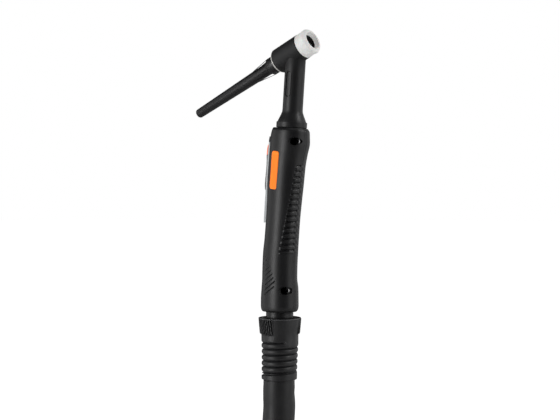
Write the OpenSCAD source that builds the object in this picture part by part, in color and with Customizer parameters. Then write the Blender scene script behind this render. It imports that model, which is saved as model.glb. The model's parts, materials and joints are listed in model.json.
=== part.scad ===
// TIG welding torch, gas-cooled, with a ball-jointed cable.
// Millimetres. The torch stands upright, its origin at the centre of the grip.
// +Z runs up the handle, +X to the nozzle side and -X to the push-button side.
// The head and the back cap lie in the plane Y = 0, where the two shells meet.

/* [Head] */
// Angle between the head barrel and the vertical
barrel_tilt = 68.2; // [60:0.1:80]
// Lean of the neck towards the nozzle
neck_lean = 4.5; // [0:0.5:8]
// Diameter of the moulded head barrel
barrel_d = 21.8; // [20:0.2:24]
// Barrel length in front of the neck axis
barrel_front = 8; // [5:0.2:12]
// Barrel length behind the neck axis
barrel_back = 20; // [18:0.1:26]
// Diameter of the neck
neck_d = 16.8; // [15:0.1:18]
// Distance from the flange seat up to the barrel axis
neck_l = 64.8; // [50:0.2:90]
// Diameter of the flange at the foot of the neck
flange_d = 26; // [22:0.5:28]
// Height of the flange rim
flange_h = 4.5; // [2.5:0.1:5.5]
// Height of the cone above the flange rim
cone_h = 8.4; // [6:0.1:12]
// Radius of the thread that takes the collet body
collet_r = 4.6; // [4:0.1:5]
// Depth of the collet body thread
collet_l = 12; // [8:0.5:12]

/* [Front insulator] */
// How far the insulator stands out of the barrel
insulator_l = 11.1; // [8:0.1:16]
// Radius of the insulator's rim
insulator_r = 11; // [10:0.1:12]
// Radius of the insulator's bore
insulator_bore = 6.4; // [6:0.1:6.8]

/* [Back cap] */
// Length of the cap behind the barrel
cap_l = 104; // [60:0.1:140]
// Radius of the cap's collar
cap_collar_r = 7.2; // [6.6:0.1:8]
// Length of the collar
cap_collar_l = 9.2; // [5:0.1:20]
// Radius of the cap beside the collar
cap_root_r = 5.45; // [4.8:0.05:6]
// Radius of the cap at its tip
cap_tip_r = 4.15; // [3.4:0.05:4.8]
// Radius of the electrode bore
electrode_r = 1.75; // [1.3:0.05:2.2]
// Number of strengthening fins behind the collar
cap_fins = 8; // [6:1:12]
// Length of the fins
fin_l = 18; // [10:1:55]
// Length of thread on the cap's nose
cap_thread_l = 9.8; // [7:0.1:10]

/* [Handle] */
// Length of the handle
handle_l = 155.4; // [150:0.2:180]
// Largest width, from the button side to the nozzle side
handle_w = 34.8; // [33.6:0.2:40]
// Largest thickness, from shell to shell
handle_t = 30; // [29:0.2:36]
// How far the top stands forward of the bottom
handle_bow = 11.5; // [9:0.5:14]
// Wall of the shells
shell_wall = 2.2; // [1.6:0.1:2.4]
// Thickness of the shells' end walls
end_wall = 3.2; // [2.5:0.1:4]
// Radius of the screw recesses
recess_r = 3.35; // [3:0.05:3.6]
// Distance from the grip's centreline to the screws
screw_x = 12.4; // [11.8:0.1:13.2]
// Distance of the upper screw below the handle's upper end
screw_drop = 12.1; // [11:0.1:14]
// Distance of the lower screw above the handle's lower end
screw_rise = 18.4; // [12:0.1:24]

/* [Badge] */
// Length of the coloured badge
badge_l = 32.1; // [20:0.1:40]
// Width of the badge
badge_w = 7.7; // [5:0.1:10]
// Distance of the badge's centre below the handle's upper end
badge_drop = 35.7; // [30:0.1:42]
// Distance of the badge from the grip's centreline, towards the button
badge_shift = 2.2; // [0:0.1:4]

/* [Switch] */
// Distance of the switch housing below the handle's upper end
module_drop = 6.8; // [6.6:0.1:16]
// Length of the switch housing
module_l = 73; // [64:0.5:76]
// Width of the switch housing
module_w = 13; // [12:0.2:14]
// Width of the push button
button_w = 10; // [8:0.2:10.4]
// Length of the push button
button_l = 38.4; // [30:0.1:42]
// How far the button travels
button_travel = 1.2; // [0.6:0.1:1.4]
// How far the button stands out of the grip's back at its lower end
button_proud = 2.2; // [1.6:0.1:2.6]

/* [Ball joint and bend relief] */
// Radius of the ball
ball_r = 11.5; // [11:0.1:11.6]
// Height of the ball's centre below the handle's end
ball_drop = 18.9; // [18.5:0.1:20]
// Radius of the visible stem
stem_r = 11.65; // [11:0.05:11.8]
// Radius of the cup's rim
rim_r = 18; // [17.8:0.1:19]
// Radius of the cup's body
cup_r = 15.6; // [15.4:0.1:16.2]
// Radius of the relief's ribs
rib_r = 15; // [14.6:0.1:15.4]
// Depth of the grooves between the ribs
rib_depth = 1.3; // [0.8:0.1:1.4]
// Number of ribs
ribs = 6; // [4:1:7]
// Distance from rib to rib
rib_pitch = 5; // [4.5:0.1:5.4]

/* [Cable] */
// Diameter of the cable sheath
cable_d = 27; // [25:0.2:27.4]
// Radius of the coil's innermost turn
coil_r = 110; // [108:1:130]
// Number of turns in each of the coil's two layers
layer_turns = 2; // [1:1:4]
// Gap between turns that lie side by side, and between the layers
turn_gap = 0.6; // [0.5:0.1:1.5]
// Width of the ties round the coil
tie_w = 20; // [12:1:30]

/* [Connector] */
// Radius of the female thread in the nut
nut_thread_r = 5.75; // [5.4:0.05:6.6]
// Width of the nut across its flats
nut_flats = 19; // [17:0.5:22]
// Length of the nut
nut_l = 18; // [15:0.5:24]
// Length of the moulded boot at the end of the sheath
boot_l = 46; // [35:1:60]
// Diameter of the control lead
lead_d = 6; // [5:0.2:7]
// Diameter of the control plug
plug_d = 18; // [16:0.5:22]

/* [Hidden] */
$fn = 64;

BLACK = [0.16, 0.16, 0.17];
DARK = [0.1, 0.1, 0.11];
WHITE = [0.93, 0.93, 0.92];
ORANGE = [1, 0.45, 0.1];
GREY = [0.6, 0.62, 0.63];
BRASS = [0.8, 0.65, 0.35];
STEEL = [0.7, 0.7, 0.72];
GREEN = [0.1, 0.35, 0.2];

fit = 0.1;      // clearance of a seat, a thread or a running bore, on the radius
free = 0.3;     // clearance between pieces that move past each other
eps = 0.01;     // overshoot of a cut past the face it opens

// ---- grip outline: [share of the length, share of the bow, share of the width] ----
GRIP = [[0, -0.02, 0.87], [0.011, -0.01, 0.935], [0.029, 0, 0.96], [0.064, 0, 0.958],
    [0.128, 0.02, 0.935], [0.18, 0, 0.892], [0.244, 0.02, 0.89], [0.32, 0.08, 0.89],
    [0.397, 0.19, 0.872], [0.5, 0.32, 0.868], [0.603, 0.46, 0.885], [0.71, 0.585, 0.925],
    [0.795, 0.71, 0.935], [0.859, 0.845, 0.962], [0.923, 1, 1], [0.958, 1.02, 0.985],
    [0.984, 1.06, 0.95], [1, 1.05, 0.87]];
END_ROWS = 3;           // rows at each end that only round the edge
ROUNDNESS = 2.15;       // exponent of the grip's superellipse section
BOW_TABLE = [for (row = GRIP) [row[0], row[1]]];
WIDTH_TABLE = [for (row = GRIP) [row[0], row[2]]];

handle_low = -handle_l / 2;
handle_top = handle_l / 2;
stem_x = -handle_bow * lookup(0.5, BOW_TABLE);
screw_top_z = handle_top - screw_drop;
screw_low_z = handle_low + screw_rise;
badge_z = handle_top - badge_drop;
module_top_z = handle_top - module_drop;
module_low_z = module_top_z - module_l;

function share(z) = (z - handle_low) / handle_l;
function grip_x(z) = stem_x + handle_bow * lookup(share(z), BOW_TABLE);
function grip_a(z) = handle_w / 2 * lookup(share(z), WIDTH_TABLE);
function grip_b(z) = handle_t / 2 * lookup(share(z), WIDTH_TABLE);
function rear_x(z) = grip_x(z) - grip_a(z);
function section_tilt(u) = neck_lean * min(1, max(0, (u - 0.5) / 0.4));
function signed_power(v, e) = sign(v) * pow(abs(v), e);
// Half thickness of the grip at a distance dx from its centreline
function side_y(z, dx) =
    grip_b(z) * pow(1 - pow(abs(dx) / grip_a(z), ROUNDNESS), 1 / ROUNDNESS);

function section(row, inset, sides) =
    let (a = handle_w / 2 * row[2] - inset,
        b = handle_t / 2 * row[2] - inset,
        tilt = section_tilt(row[0]),
        xc = stem_x + handle_bow * row[1],
        zc = handle_low + handle_l * row[0])
    [for (k = [0 : sides - 1])
        let (t = 360 * k / sides,
            x = a * signed_power(cos(t), 2 / ROUNDNESS),
            y = b * signed_power(sin(t), 2 / ROUNDNESS))
        [xc + x * cos(tilt), y, zc - x * sin(tilt)]];

// ---- swept tubes ----
function unit(v) = v / norm(v);
function tangent(path, i, t_start, t_end) =
    i == 0 ? t_start : i == len(path) - 1 ? t_end : unit(path[i + 1] - path[i - 1]);
function square_to(v, t) = unit(v - (v * t) * t);
function tube_rings(path, r, sides, side0, t_start, t_end) =
    [for (i = 0, u = square_to(side0, t_start);
        i < len(path);
        i = i + 1, u = i < len(path) ? square_to(u, tangent(path, i, t_start, t_end)) : u)
        let (t = tangent(path, i, t_start, t_end), v = cross(t, u))
        [for (k = [0 : sides - 1])
            let (a = 360 * (k + 0.5) / sides)
            path[i] + r * (cos(a) * u + sin(a) * v)]];

// Closed skin over a stack of rings with equal numbers of points
module skin(rings) {
    n = len(rings[0]);
    m = len(rings);
    points = [for (ring = rings) for (p = ring) p];
    sides = [for (i = [0 : m - 2]) for (k = [0 : n - 1])
        let (j = (k + 1) % n, lo = i * n, hi = lo + n)
        each [[lo + k, hi + k, hi + j], [lo + k, hi + j, lo + j]]];
    first = [for (k = [1 : n - 2]) [0, k, k + 1]];
    last = [for (k = [1 : n - 2]) [(m - 1) * n, (m - 1) * n + k + 1, (m - 1) * n + k]];
    polyhedron(points, concat(sides, first, last));
}

module tube(path, d, sides, side0, t_start, t_end) {
    skin(tube_rings(path, d / 2, sides, side0, t_start, t_end));
}

// ---- places ----
flange_x = grip_x(handle_top) + 1;
flange_z = handle_top + 0.3;
head_x = flange_x + neck_l * sin(neck_lean);
head_z = flange_z + neck_l * cos(neck_lean);
ball_z = handle_low - ball_drop;

// Barrel frame: +Z along the barrel to the nozzle, origin where the neck axis meets it
module in_barrel() { translate([head_x, 0, head_z]) rotate([0, barrel_tilt, 0]) children(); }
// Neck frame: +Z up the neck, origin at the same point
module in_neck() { translate([head_x, 0, head_z]) rotate([0, neck_lean, 0]) children(); }
// Ball frame: +Z up the stem, origin at the ball's centre
module in_ball() { translate([stem_x, 0, ball_z]) children(); }

// Bored cylinder from z = low to z = high
module sleeve(r_out, r_in, low, high) {
    difference() {
        translate([0, 0, low]) cylinder(r = r_out, h = high - low);
        translate([0, 0, low - 1]) cylinder(r = r_in, h = high - low + 2);
    }
}
module rod(r, low, high) { translate([0, 0, low]) cylinder(r = r, h = high - low); }

// ---- head ----
core_r = 6.9;               // brass barrel
core_front_r = 6.3;         // brass barrel inside the insulator's spigot
core_inset = 0.4;           // brass stops short of the moulding's ends
spigot_l = 4.6;             // insulator spigot inside the cover
spigot_r = 8.4;
gas_bore_r = 3.2;           // bore between the two threads
cap_thread_r = 4.75;        // thread on the cap's nose
seal_t = 0.9;               // thickness of the cap's seal ring
seal_r = 10.5;
neck_tube_r = 5;
neck_bore_r = 2.5;
neck_tube_end = -neck_l - 27;
tail_r = 6.5;               // cover's tail inside the handle
tail_l = 10;

module torch_head() {
    color(BRASS) in_core();
}
module in_core() {
    difference() {
        union() {
            in_barrel() {
                rod(core_r, -barrel_back + core_inset, barrel_front - spigot_l - fit);
                rod(core_front_r, 0, barrel_front - core_inset);
            }
            in_neck() rod(neck_tube_r, neck_tube_end, 0);
        }
        in_barrel() {
            rod(collet_r, barrel_front - core_inset - collet_l, barrel_front + 1);
            rod(gas_bore_r, -barrel_back, barrel_front);
            rod(cap_thread_r + fit, -barrel_back, -barrel_back + cap_thread_l + 2);
        }
        in_neck() rod(neck_bore_r, neck_tube_end - 1, 0);
    }
}

module head_cover() {
    edge = 1.6;             // rounding of the barrel's rear edge
    slot_w = 5;             // sunk panel on each side of the neck
    slot_l = 21;
    slot_low = -39.2;
    slot_depth = 0.5;
    slot_turn = 7.5;        // panels' turn towards the cap
    color(BLACK) difference() {
        union() {
            in_barrel() rotate_extrude() polygon(concat(
                [[0, barrel_front], [0, -barrel_back]],
                [for (a = [0 : 15 : 90])
                    [barrel_d / 2 - edge + edge * sin(a), -barrel_back + edge - edge * cos(a)]],
                [[barrel_d / 2, barrel_front]]));
            in_neck() rotate_extrude() polygon([[0, 0], [neck_d / 2, 0],
                [neck_d / 2, -neck_l + flange_h + cone_h],
                [flange_d / 2, -neck_l + flange_h], [flange_d / 2, -neck_l],
                [tail_r, -neck_l], [tail_r, -neck_l - tail_l], [0, -neck_l - tail_l]]);
        }
        in_barrel() {
            rod(core_r + fit, -barrel_back - 1, barrel_front + 1);
            rod(spigot_r + fit, barrel_front - spigot_l - fit, barrel_front + 1);
        }
        in_neck() {
            rod(neck_tube_r + fit, -neck_l - tail_l - 1, 0);
            for (side = [-1, 1]) rotate([0, 0, side * slot_turn]) difference() {
                translate([0, side * neck_d / 2, 0]) rotate([90, 0, 0])
                    linear_extrude(neck_d / 4, center = true) hull()
                        for (z = [slot_low + slot_w / 2, slot_low + slot_l - slot_w / 2])
                            translate([0, z]) circle(d = slot_w);
                rod(neck_d / 2 - slot_depth, slot_low - 1, slot_low + slot_l + 1);
            }
        }
    }
}

module front_insulator() {
    rim = 2.8;              // rounding of the rim
    funnel_l = 3.4;
    funnel_r = 8;
    waist = 0.5;
    front = barrel_front + insulator_l;
    color(WHITE) in_barrel() difference() {
        rotate_extrude() polygon(concat(
            [[0, barrel_front - spigot_l], [spigot_r, barrel_front - spigot_l],
                [spigot_r, barrel_front], [insulator_r - 0.2, barrel_front],
                [insulator_r - 0.2, barrel_front + 2.4],
                [insulator_r - waist, barrel_front + 4.4],
                [insulator_r, front - 3.6]],
            [for (a = [0 : 15 : 90])
                [insulator_r - rim + rim * cos(a), front - rim + rim * sin(a)]],
            [[0, front]]));
        rod(insulator_bore, barrel_front - spigot_l - 1, front + 1);
        translate([0, 0, front - funnel_l])
            cylinder(r1 = insulator_bore, r2 = funnel_r, h = funnel_l + eps);
    }
}

// ---- back cap ----
module back_cap() {
    face = -barrel_back - seal_t - 2 * fit;
    root = face - cap_collar_l;
    tip = -barrel_back - cap_l;
    chamfer = 1.4;
    dome = 1.2;
    bore_l = cap_l - 8;
    color(BLACK) in_barrel() difference() {
        union() {
            rotate_extrude() polygon(concat(
                [[0, -barrel_back + cap_thread_l], [cap_thread_r - 0.8, -barrel_back + cap_thread_l],
                    [cap_thread_r, -barrel_back + cap_thread_l - 0.8], [cap_thread_r, face],
                    [cap_collar_r, face], [cap_collar_r, root + chamfer],
                    [cap_collar_r - 1, root], [cap_root_r, root], [cap_tip_r, tip + dome]],
                [for (a = [15 : 15 : 90])
                    [cap_tip_r - dome + dome * cos(a), tip + dome - dome * sin(a)]],
                [[0, tip]]));
            for (k = [0 : cap_fins - 1]) rotate([0, 0, 360 * (k + 0.5) / cap_fins])
                rotate([90, 0, 0]) linear_extrude(0.9, center = true)
                    polygon([[0, root + chamfer], [cap_collar_r - 0.2, root + chamfer],
                        [cap_root_r - 0.3, root - fin_l], [0, root - fin_l]]);
        }
        rod(electrode_r, -barrel_back - bore_l, -barrel_back + cap_thread_l + 1);
    }
}

module cap_seal() {
    color(WHITE) in_barrel()
        sleeve(seal_r, cap_thread_r + fit, -barrel_back - seal_t - fit, -barrel_back - fit);
}

// ---- handle ----
SIDES = 36;
module grip_outer() { skin([for (row = GRIP) section(row, 0, SIDES)]); }
module grip_inner() {
    rows = [for (i = [END_ROWS : len(GRIP) - 1 - END_ROWS])
        let (row = GRIP[i],
            u = i == END_ROWS ? end_wall / handle_l
                : i == len(GRIP) - 1 - END_ROWS ? 1 - end_wall / handle_l : row[0])
        [u, row[1], row[2]]];
    skin([for (row = rows) section(row, shell_wall, SIDES)]);
}

stem_groove_r = 9.8;
boss_r = 4.3;
screw_floor = 2.8;          // depth of the recess floor from the parting plane
shank_r = 1.45;
skin_left = 1.2;            // plastic left beyond the pilot holes
pilot_l = side_y(screw_low_z, screw_x + shank_r + fit) - skin_left;
SCREWS = [screw_top_z, screw_low_z];
module at_screws() {
    for (z = SCREWS) translate([grip_x(z) + screw_x, 0, z]) rotate([90, 0, 0]) children();
}

badge_depth = 0.5;
module badge_outline(grow) {
    half = badge_l / 2 - badge_w / 4;
    for (s = [-1, 1]) for (t = [-1, 1])
        translate([s * badge_w / 4, t * half]) circle(r = badge_w / 4 + grow);
    square([badge_w / 2, 2 * half + badge_w / 2 + 2 * grow], center = true);
    square([badge_w + 2 * grow, 2 * half], center = true);
}
// Plate between two depths below the grip's side surface; side is +1 for +Y and -1 for -Y
module badge_plate(side, grow, inner, outer) {
    y_face = side_y(badge_z, badge_shift);
    turn = atan((side_y(badge_z, badge_shift - 1) - side_y(badge_z, badge_shift + 1)) / 2);
    lean = atan((grip_x(badge_z + badge_l / 2) - grip_x(badge_z - badge_l / 2)) / badge_l);
    thick = atan((grip_b(badge_z + badge_l / 2) - grip_b(badge_z - badge_l / 2)) / badge_l);
    translate([grip_x(badge_z) - badge_shift, side * y_face, badge_z]) rotate([0, 0, side * turn])
        rotate([-side * thick, lean, 0]) rotate([90, 0, 0])
            translate([0, 0, side < 0 ? -inner : -outer])
                linear_extrude(inner + outer) badge_outline(grow);
}

window_gap = 0.2;
module switch_window() {
    w = module_w / 2 + window_gap;
    low = module_low_z - window_gap;
    high = module_top_z + window_gap;
    translate([rear_x(module_low_z) - 10, -w, low])
        cube([10 + grip_a(module_low_z), 2 * w, high - low]);
}

module shell(side) {
    difference() {
        intersection() {
            union() {
                difference() {
                    grip_outer();
                    grip_inner();
                }
                intersection() {
                    grip_outer();
                    at_screws() cylinder(r = boss_r, h = handle_t, center = true);
                }
            }
            translate([-2 * handle_w, side > 0 ? 0 : -handle_t, handle_low - 5])
                cube([4 * handle_w, handle_t, handle_l + 10]);
        }
        translate([stem_x, 0, handle_low - 1]) cylinder(r = stem_groove_r + fit, h = end_wall + 6);
        in_neck() rod(tail_r + fit, -neck_l - tail_l, -neck_l + 4);
        switch_window();
        badge_plate(side, fit, badge_depth, 3);
        if (side < 0) {
            at_screws() rod(recess_r, screw_floor, handle_t);
            at_screws() rod(shank_r + 2 * fit, -1, screw_floor + 1);
        } else {
            at_screws() rod(shank_r + fit / 2, -pilot_l, 1);
        }
    }
}
module handle_shell_left() { color(BLACK) shell(1); }
module handle_shell_right() { color(BLACK) shell(-1); }

module handle_screws() {
    head_h = 2;
    head_r = 2.8;
    color(STEEL) at_screws() difference() {
        union() {
            rod(head_r, screw_floor, screw_floor + head_h);
            rod(shank_r, 0.7 - pilot_l, screw_floor);
        }
        translate([0, 0, screw_floor + head_h - 1.2]) cylinder(r = 1.3, h = 2, $fn = 6);
    }
}

module badge(side) {
    color(ORANGE) badge_plate(side, 0, badge_depth, 0.15);
}
module badge_left() { badge(1); }
module badge_right() { badge(-1); }

// ---- switch ----
face_inset = 0.8;           // module face below the grip's rear apex at its lower end
module_depth = 9.5;
case_wall = 1.2;
button_top = module_top_z - 6.5;
button_low = button_top - button_l;
marker_l = 9;               // coloured upper end of the button
marker_seat = 1.4;          // seat of the marker, out of the grip's back
marker_proud = 3.2;         // and its face
plate_low = module_low_z + 0.6;
plate_top = button_low - 5.5;
plate_proud = 0.3;
plate_floor = 1.6;          // seat of the plate, below the grip's rear apex
board_t = 1.2;

// Side view strip between z = low and z = high, from one offset off the grip's rear apex
// to another; positive offsets lie inside the grip. It bends where the grip's outline does.
function strip(low, high, off_low, off_high, back) =
    let (bends = [for (row = GRIP) handle_low + handle_l * row[0]],
        levels = [low, for (z = bends) if (z > low && z < high) z, high],
        n = len(levels))
    concat(
        [for (z = levels) let (s = (z - low) / (high - low))
            [rear_x(z) + off_low + (off_high - off_low) * s, z]],
        [for (i = [n - 1 : -1 : 0]) [rear_x(levels[i]) + back, levels[i]]]);
module slab(w, outline) {
    rotate([90, 0, 0]) linear_extrude(w, center = true) polygon(outline);
}

module switch_housing() {
    back = face_inset + module_depth;
    pocket_low = button_low - free;
    pocket_high = button_top + free;
    color(GREY) difference() {
        slab(module_w, strip(module_low_z, module_top_z, face_inset, 0, back));
        slab(button_w + 2 * free, strip(pocket_low, pocket_high, -4, -4, board_face + eps));
        slab(module_w - 2 + 2 * fit, strip(plate_low - fit, plate_top + fit, -1, -1, plate_floor));
        slab(module_w - 2 * case_wall,
            strip(module_low_z + case_wall, module_top_z - case_wall, board_face, board_face,
                back + 1));
    }
}

module blanking_plate() {
    color(GREY) slab(module_w - 2,
        strip(plate_low, plate_top, -plate_proud, -plate_proud, plate_floor - eps));
}

button_t = 3.4;             // back of the button, measured in from the grip's rear apex
module push_button() {
    top_proud = 2.9;
    color(DARK) difference() {
        slab(button_w, strip(button_low, button_top, -button_proud, -top_proud, button_t));
        slab(button_w + 1, strip(button_top - marker_l, button_top + 1, -5, -5, -marker_seat));
    }
}
module button_marker() {
    color(ORANGE) slab(button_w, strip(button_top - marker_l + eps, button_top,
        -marker_proud, -marker_proud, -marker_seat - eps));
}

board_face = face_inset + module_depth - case_wall - board_t;
module button_spring() {
    z = button_low + 8;
    length = board_face - button_t - button_travel - 2 * free;
    color(STEEL) translate([rear_x(z) + button_t + free, 0, z]) rotate([0, 90, 0])
        sleeve(2.2, 1.6, 0, length);
}

module microswitch() {
    z = button_low + button_l / 2;
    front = button_t + button_travel + free;
    color(DARK) slab(6, strip(z - 5, z + 5, front, front, board_face));
}

module switch_board() {
    back = board_face + board_t;
    color(GREEN) slab(module_w - 2 * case_wall - 2 * fit,
        strip(module_low_z + case_wall + fit, module_top_z - case_wall - fit,
            board_face, board_face, back));
}

// ---- inside the handle ----
module neck_retainer() {
    color(DARK) in_neck() sleeve(8, tail_r + fit, -neck_l - end_wall - 3.4, -neck_l - end_wall - 1);
}

ferrule_low = neck_tube_end - 8;
module hose_ferrule() {
    color(BRASS) in_neck() sleeve(6.4, neck_tube_r + fit, ferrule_low, neck_tube_end + 8);
}

hose_r = 3.3;
hose_side = 1.3;            // hose beside the stem's axis
hose_shift = (face_inset + module_depth - shell_wall) / 2;  // midway between switch and wall
wire_d = 2.2;
wire_side = -3.45;          // wires beside the stem's axis
wire_reach = 7;             // and beside the hose in the grip
// Heights of the hose's and the wires' bends, as shares of the handle's length
HOSE_BENDS = [0.628, 0.5, 0.308, 0.115];
WIRE_BENDS = [0.308, 0.115, 0.038];
function height(share_up) = handle_low + handle_l * share_up;
function neck_point(z) = [head_x + z * sin(neck_lean), 0, head_z + z * cos(neck_lean)];
module power_hose() {
    start = neck_point(neck_tube_end - free);
    z = [for (u = HOSE_BENDS) height(u)];
    route = [start, neck_point(neck_tube_end - 12), [grip_x(z[0]) + hose_shift, 0, z[0]],
        [grip_x(z[1]) + hose_shift, 0, z[1]], [grip_x(z[2]) + hose_shift / 2, 0, z[2]],
        [stem_x + hose_side, 0, z[3]], [stem_x + hose_side, 0, ball_z]];
    color(DARK) tube(route, 2 * hose_r, 12, [1, 0, 0], unit(neck_point(-1) - neck_point(0)), [0, 0, -1]);
}

module control_wires() {
    z_top = module_low_z + 4;
    board_x = rear_x(z_top) + face_inset + module_depth + wire_d / 2 + free;
    z = [for (u = WIRE_BENDS) height(u)];
    route = [[board_x, 0, z_top], [board_x, 0, z_top - 6], [stem_x - wire_reach, 0, z[0]],
        [stem_x + wire_side - 1, 0, z[1]], [stem_x + wire_side, 0, z[2]],
        [stem_x + wire_side, 0, ball_z]];
    color(DARK) tube(route, wire_d, 8, [1, 0, 0], [0, 0, -1], [0, 0, -1]);
}

// ---- ball joint ----
ring_t = 1.4;               // thickness of the seat rings
ring_gap = 0.2;             // between ball and seat ring
ring_low = 2.3;             // seat rings keep this far from the ball's equator
ring_high = 7.4;
collar_bottom = 13;         // height of the stem collar's underside over the ball's centre
neck_rod_r = 6.5;
stem_bore_r = 5;

module ball_stem() {
    low = ball_drop;        // handle's end face, in the ball frame
    color(BLACK) in_ball() difference() {
        union() {
            sphere(r = ball_r);
            rod(neck_rod_r, 0, collar_bottom + 1);
            rod(stem_r, collar_bottom, low);
            rod(stem_groove_r, low, low + end_wall + fit);
            rod(stem_r - 0.3, low + end_wall + fit, low + end_wall + 4);
        }
        rod(stem_bore_r, -ball_r - 1, low + end_wall + 5);
    }
}

module seat_ring(low, high) {
    intersection() {
        difference() {
            sphere(r = ball_r + ring_gap + ring_t);
            sphere(r = ball_r + ring_gap);
        }
        rod(ball_r + 5, low, high);
    }
}
module seat_ring_upper() { color(WHITE) in_ball() seat_ring(ring_low, ring_high); }
module seat_ring_lower() { color(WHITE) in_ball() seat_ring(-ring_high, -ring_low); }

rim_top = 13.3;             // cup's rim over the ball's centre
dish_floor = 8.6;
dish_low_r = 14.8;
dish_top_r = 17;
wing_bottom = 0.4;
ribs_top = -9;              // first groove starts here
relief_end = ribs_top - rib_pitch * (ribs + 0.14);
cord_bore_r = 9;

module bend_relief() {
    groove_w = rib_pitch * 0.45;
    cavity = ball_r + ring_gap + ring_t + free;
    color(BLACK) in_ball() difference() {
        rotate_extrude() polygon(concat(
            [[0, rim_top], [rim_r - 0.5, rim_top], [rim_r, rim_top - 0.5],
                [rim_r - 1.1, wing_bottom + 0.6], [cup_r + 0.2, wing_bottom], [cup_r, wing_bottom - 1],
                [cup_r, ribs_top + 0.6]],
            [for (i = [0 : ribs - 1]) let (z = ribs_top - i * rib_pitch)
                each [[rib_r, z], [rib_r - rib_depth, z - 0.6],
                    [rib_r - rib_depth, z - groove_w + 0.6], [rib_r, z - groove_w]]],
            [[rib_r, relief_end + 0.8], [rib_r - 0.8, relief_end], [0, relief_end]]));
        sphere(r = cavity);
        translate([0, 0, dish_floor]) cylinder(r1 = dish_low_r, r2 = dish_top_r, h = rim_top - dish_floor);
        rod(dish_top_r, rim_top - eps, rim_top + 1);
        rod(cord_bore_r, relief_end - 1, 0);
    }
}

// ---- cable ----
// Everything from here on is set out from the cable's axis below the ball.
coil_bed = -520;            // underside of the coil
tie_t = 1.2;
pitch = cable_d + turn_gap + 0.4;
layer = cable_d + turn_gap;
top_z = coil_bed + cable_d / 2 + layer;
low_z = coil_bed + cable_d / 2;
outer_r = coil_r + pitch * layer_turns;
LOOP_RINGS = 24;
coil_x = -16;               // coil's centre, set so that the hanging cable balances
coil_y = 7;                 // under the ball

// Route of the free stretch: straight down, then out to the coil in one wide sweep.
// The last points follow the coil's outer turn and its height.
DROP = [[0, 0, -165], [-2, -4, -202], [-2, -19, -236], [1, -42, -264], [7, -69, -288],
    [17, -96, -310], [31, -120, -334], [50, -135, -361], [72, -140, -389], [96, -134, -417],
    [118, -117, -442], [135, -90, -462], [146, -57, -474]];

module cable_drop() {
    exit_z = ball_z + relief_end;
    route = concat([[0, 0, exit_z]], DROP, [[coil_x + outer_r, coil_y - cable_d, top_z]]);
    color(BLACK) translate([stem_x, 0, 0])
        tube(route, cable_d, 10, [1, 0, 0], [0, 0, -1], [0, 1, 0]);
}

// A point of the coil after a number of turns: spiralling in on the top layer, climbing down
// in the half turn about the reversal, and spiralling out again on the bottom layer
function coil_point(turn) =
    let (r = coil_r + pitch * abs(turn - layer_turns),
        s = min(1, max(0, (turn - layer_turns) / 0.5 + 0.5)),
        z = top_z - layer * (1 - cos(180 * s)) / 2,
        a = 360 * turn)
    [r * cos(a), r * sin(a), z];
module in_coil() { translate([stem_x + coil_x, coil_y, 0]) children(); }
function coil_path(steps) =
    let (n = 2 * layer_turns * steps)
    concat([[outer_r, -cable_d, top_z]],
        [for (i = [0 : n]) coil_point(i / steps)],
        [[outer_r, cable_d, low_z]]);

// Least distance between stretches of the coil at least a third of a turn apart, less a diameter
function self_gap(path, apart) =
    min([for (i = [0 : len(path) - 1]) for (j = [i + apart : len(path) - 1])
        norm(path[i] - path[j])]) - cable_d;
CHECK_STEPS = 72;
echo(coil_least_gap = self_gap(coil_path(CHECK_STEPS), CHECK_STEPS / 3));

module cable_coil() {
    path = coil_path(LOOP_RINGS);
    color(BLACK) in_coil()
        tube(path, cable_d, 6, [1, 0, 0], [0, 1, 0], [0, 1, 0]);
}

TIE_TURNS = [0.3, 0.5, 0.7];
module coil_ties() {
    gap = 0.4;
    // the flat strap clears the coil's bend and its slope across the strap's width
    bend = pow(tie_w / 2, 2) / (2 * (coil_r - cable_d / 2));
    slope = pitch * tie_w / 2 / (2 * PI * coil_r);
    color(DARK) in_coil() for (f = TIE_TURNS) {
        low_r = coil_r + pitch * min(f, 1 - f) - cable_d / 2 - bend - slope - gap / 2;
        high_r = coil_r + pitch * (layer_turns - min(f, 1 - f)) + cable_d / 2 + slope;
        rotate([0, 0, 360 * f]) difference() {
            translate([low_r - tie_t, -tie_w / 2, coil_bed - gap - tie_t])
                cube([high_r - low_r + 2 * tie_t, tie_w, cable_d + layer + 2 * (gap + tie_t)]);
            translate([low_r, -tie_w, coil_bed - gap])
                cube([high_r - low_r, 2 * tie_w, cable_d + layer + 2 * gap]);
        }
    }
}

// ---- connector end ----
// End frame: +Z along the sheath's end, which points along +Y, with +X across it
module in_end() {
    in_coil() translate([outer_r, cable_d, low_z]) rotate([-90, 0, 0]) children();
}
boot_r = 11.5;
boot_mouth = 9;
hose_tail_r = 5;
tail_out = 14;              // brass tail showing between boot and nut
cone_r = 5.2;
cone_l = 3;
tail_flange_r = 7;          // flange that holds the nut on the tail
tail_flange_l = 2.8;
nut_lip = 3;
tail_x = -4.5;              // brass tail and control lead leave the boot side by side
lead_x = 8;

module end_boot() {
    color(BLACK) in_end() difference() {
        rotate_extrude() polygon([[0, 0], [cable_d / 2 - 0.4, 0], [cable_d / 2 - 0.4, boot_mouth],
            [boot_r, boot_mouth + 8], [boot_r, boot_l - 1], [boot_r - 1, boot_l], [0, boot_l]]);
        translate([tail_x, 0, boot_l - 12]) cylinder(r = hose_tail_r + fit, h = 13);
        translate([lead_x, 0, boot_l - 10]) cylinder(r = lead_d / 2 + fit, h = 11);
    }
}

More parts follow.
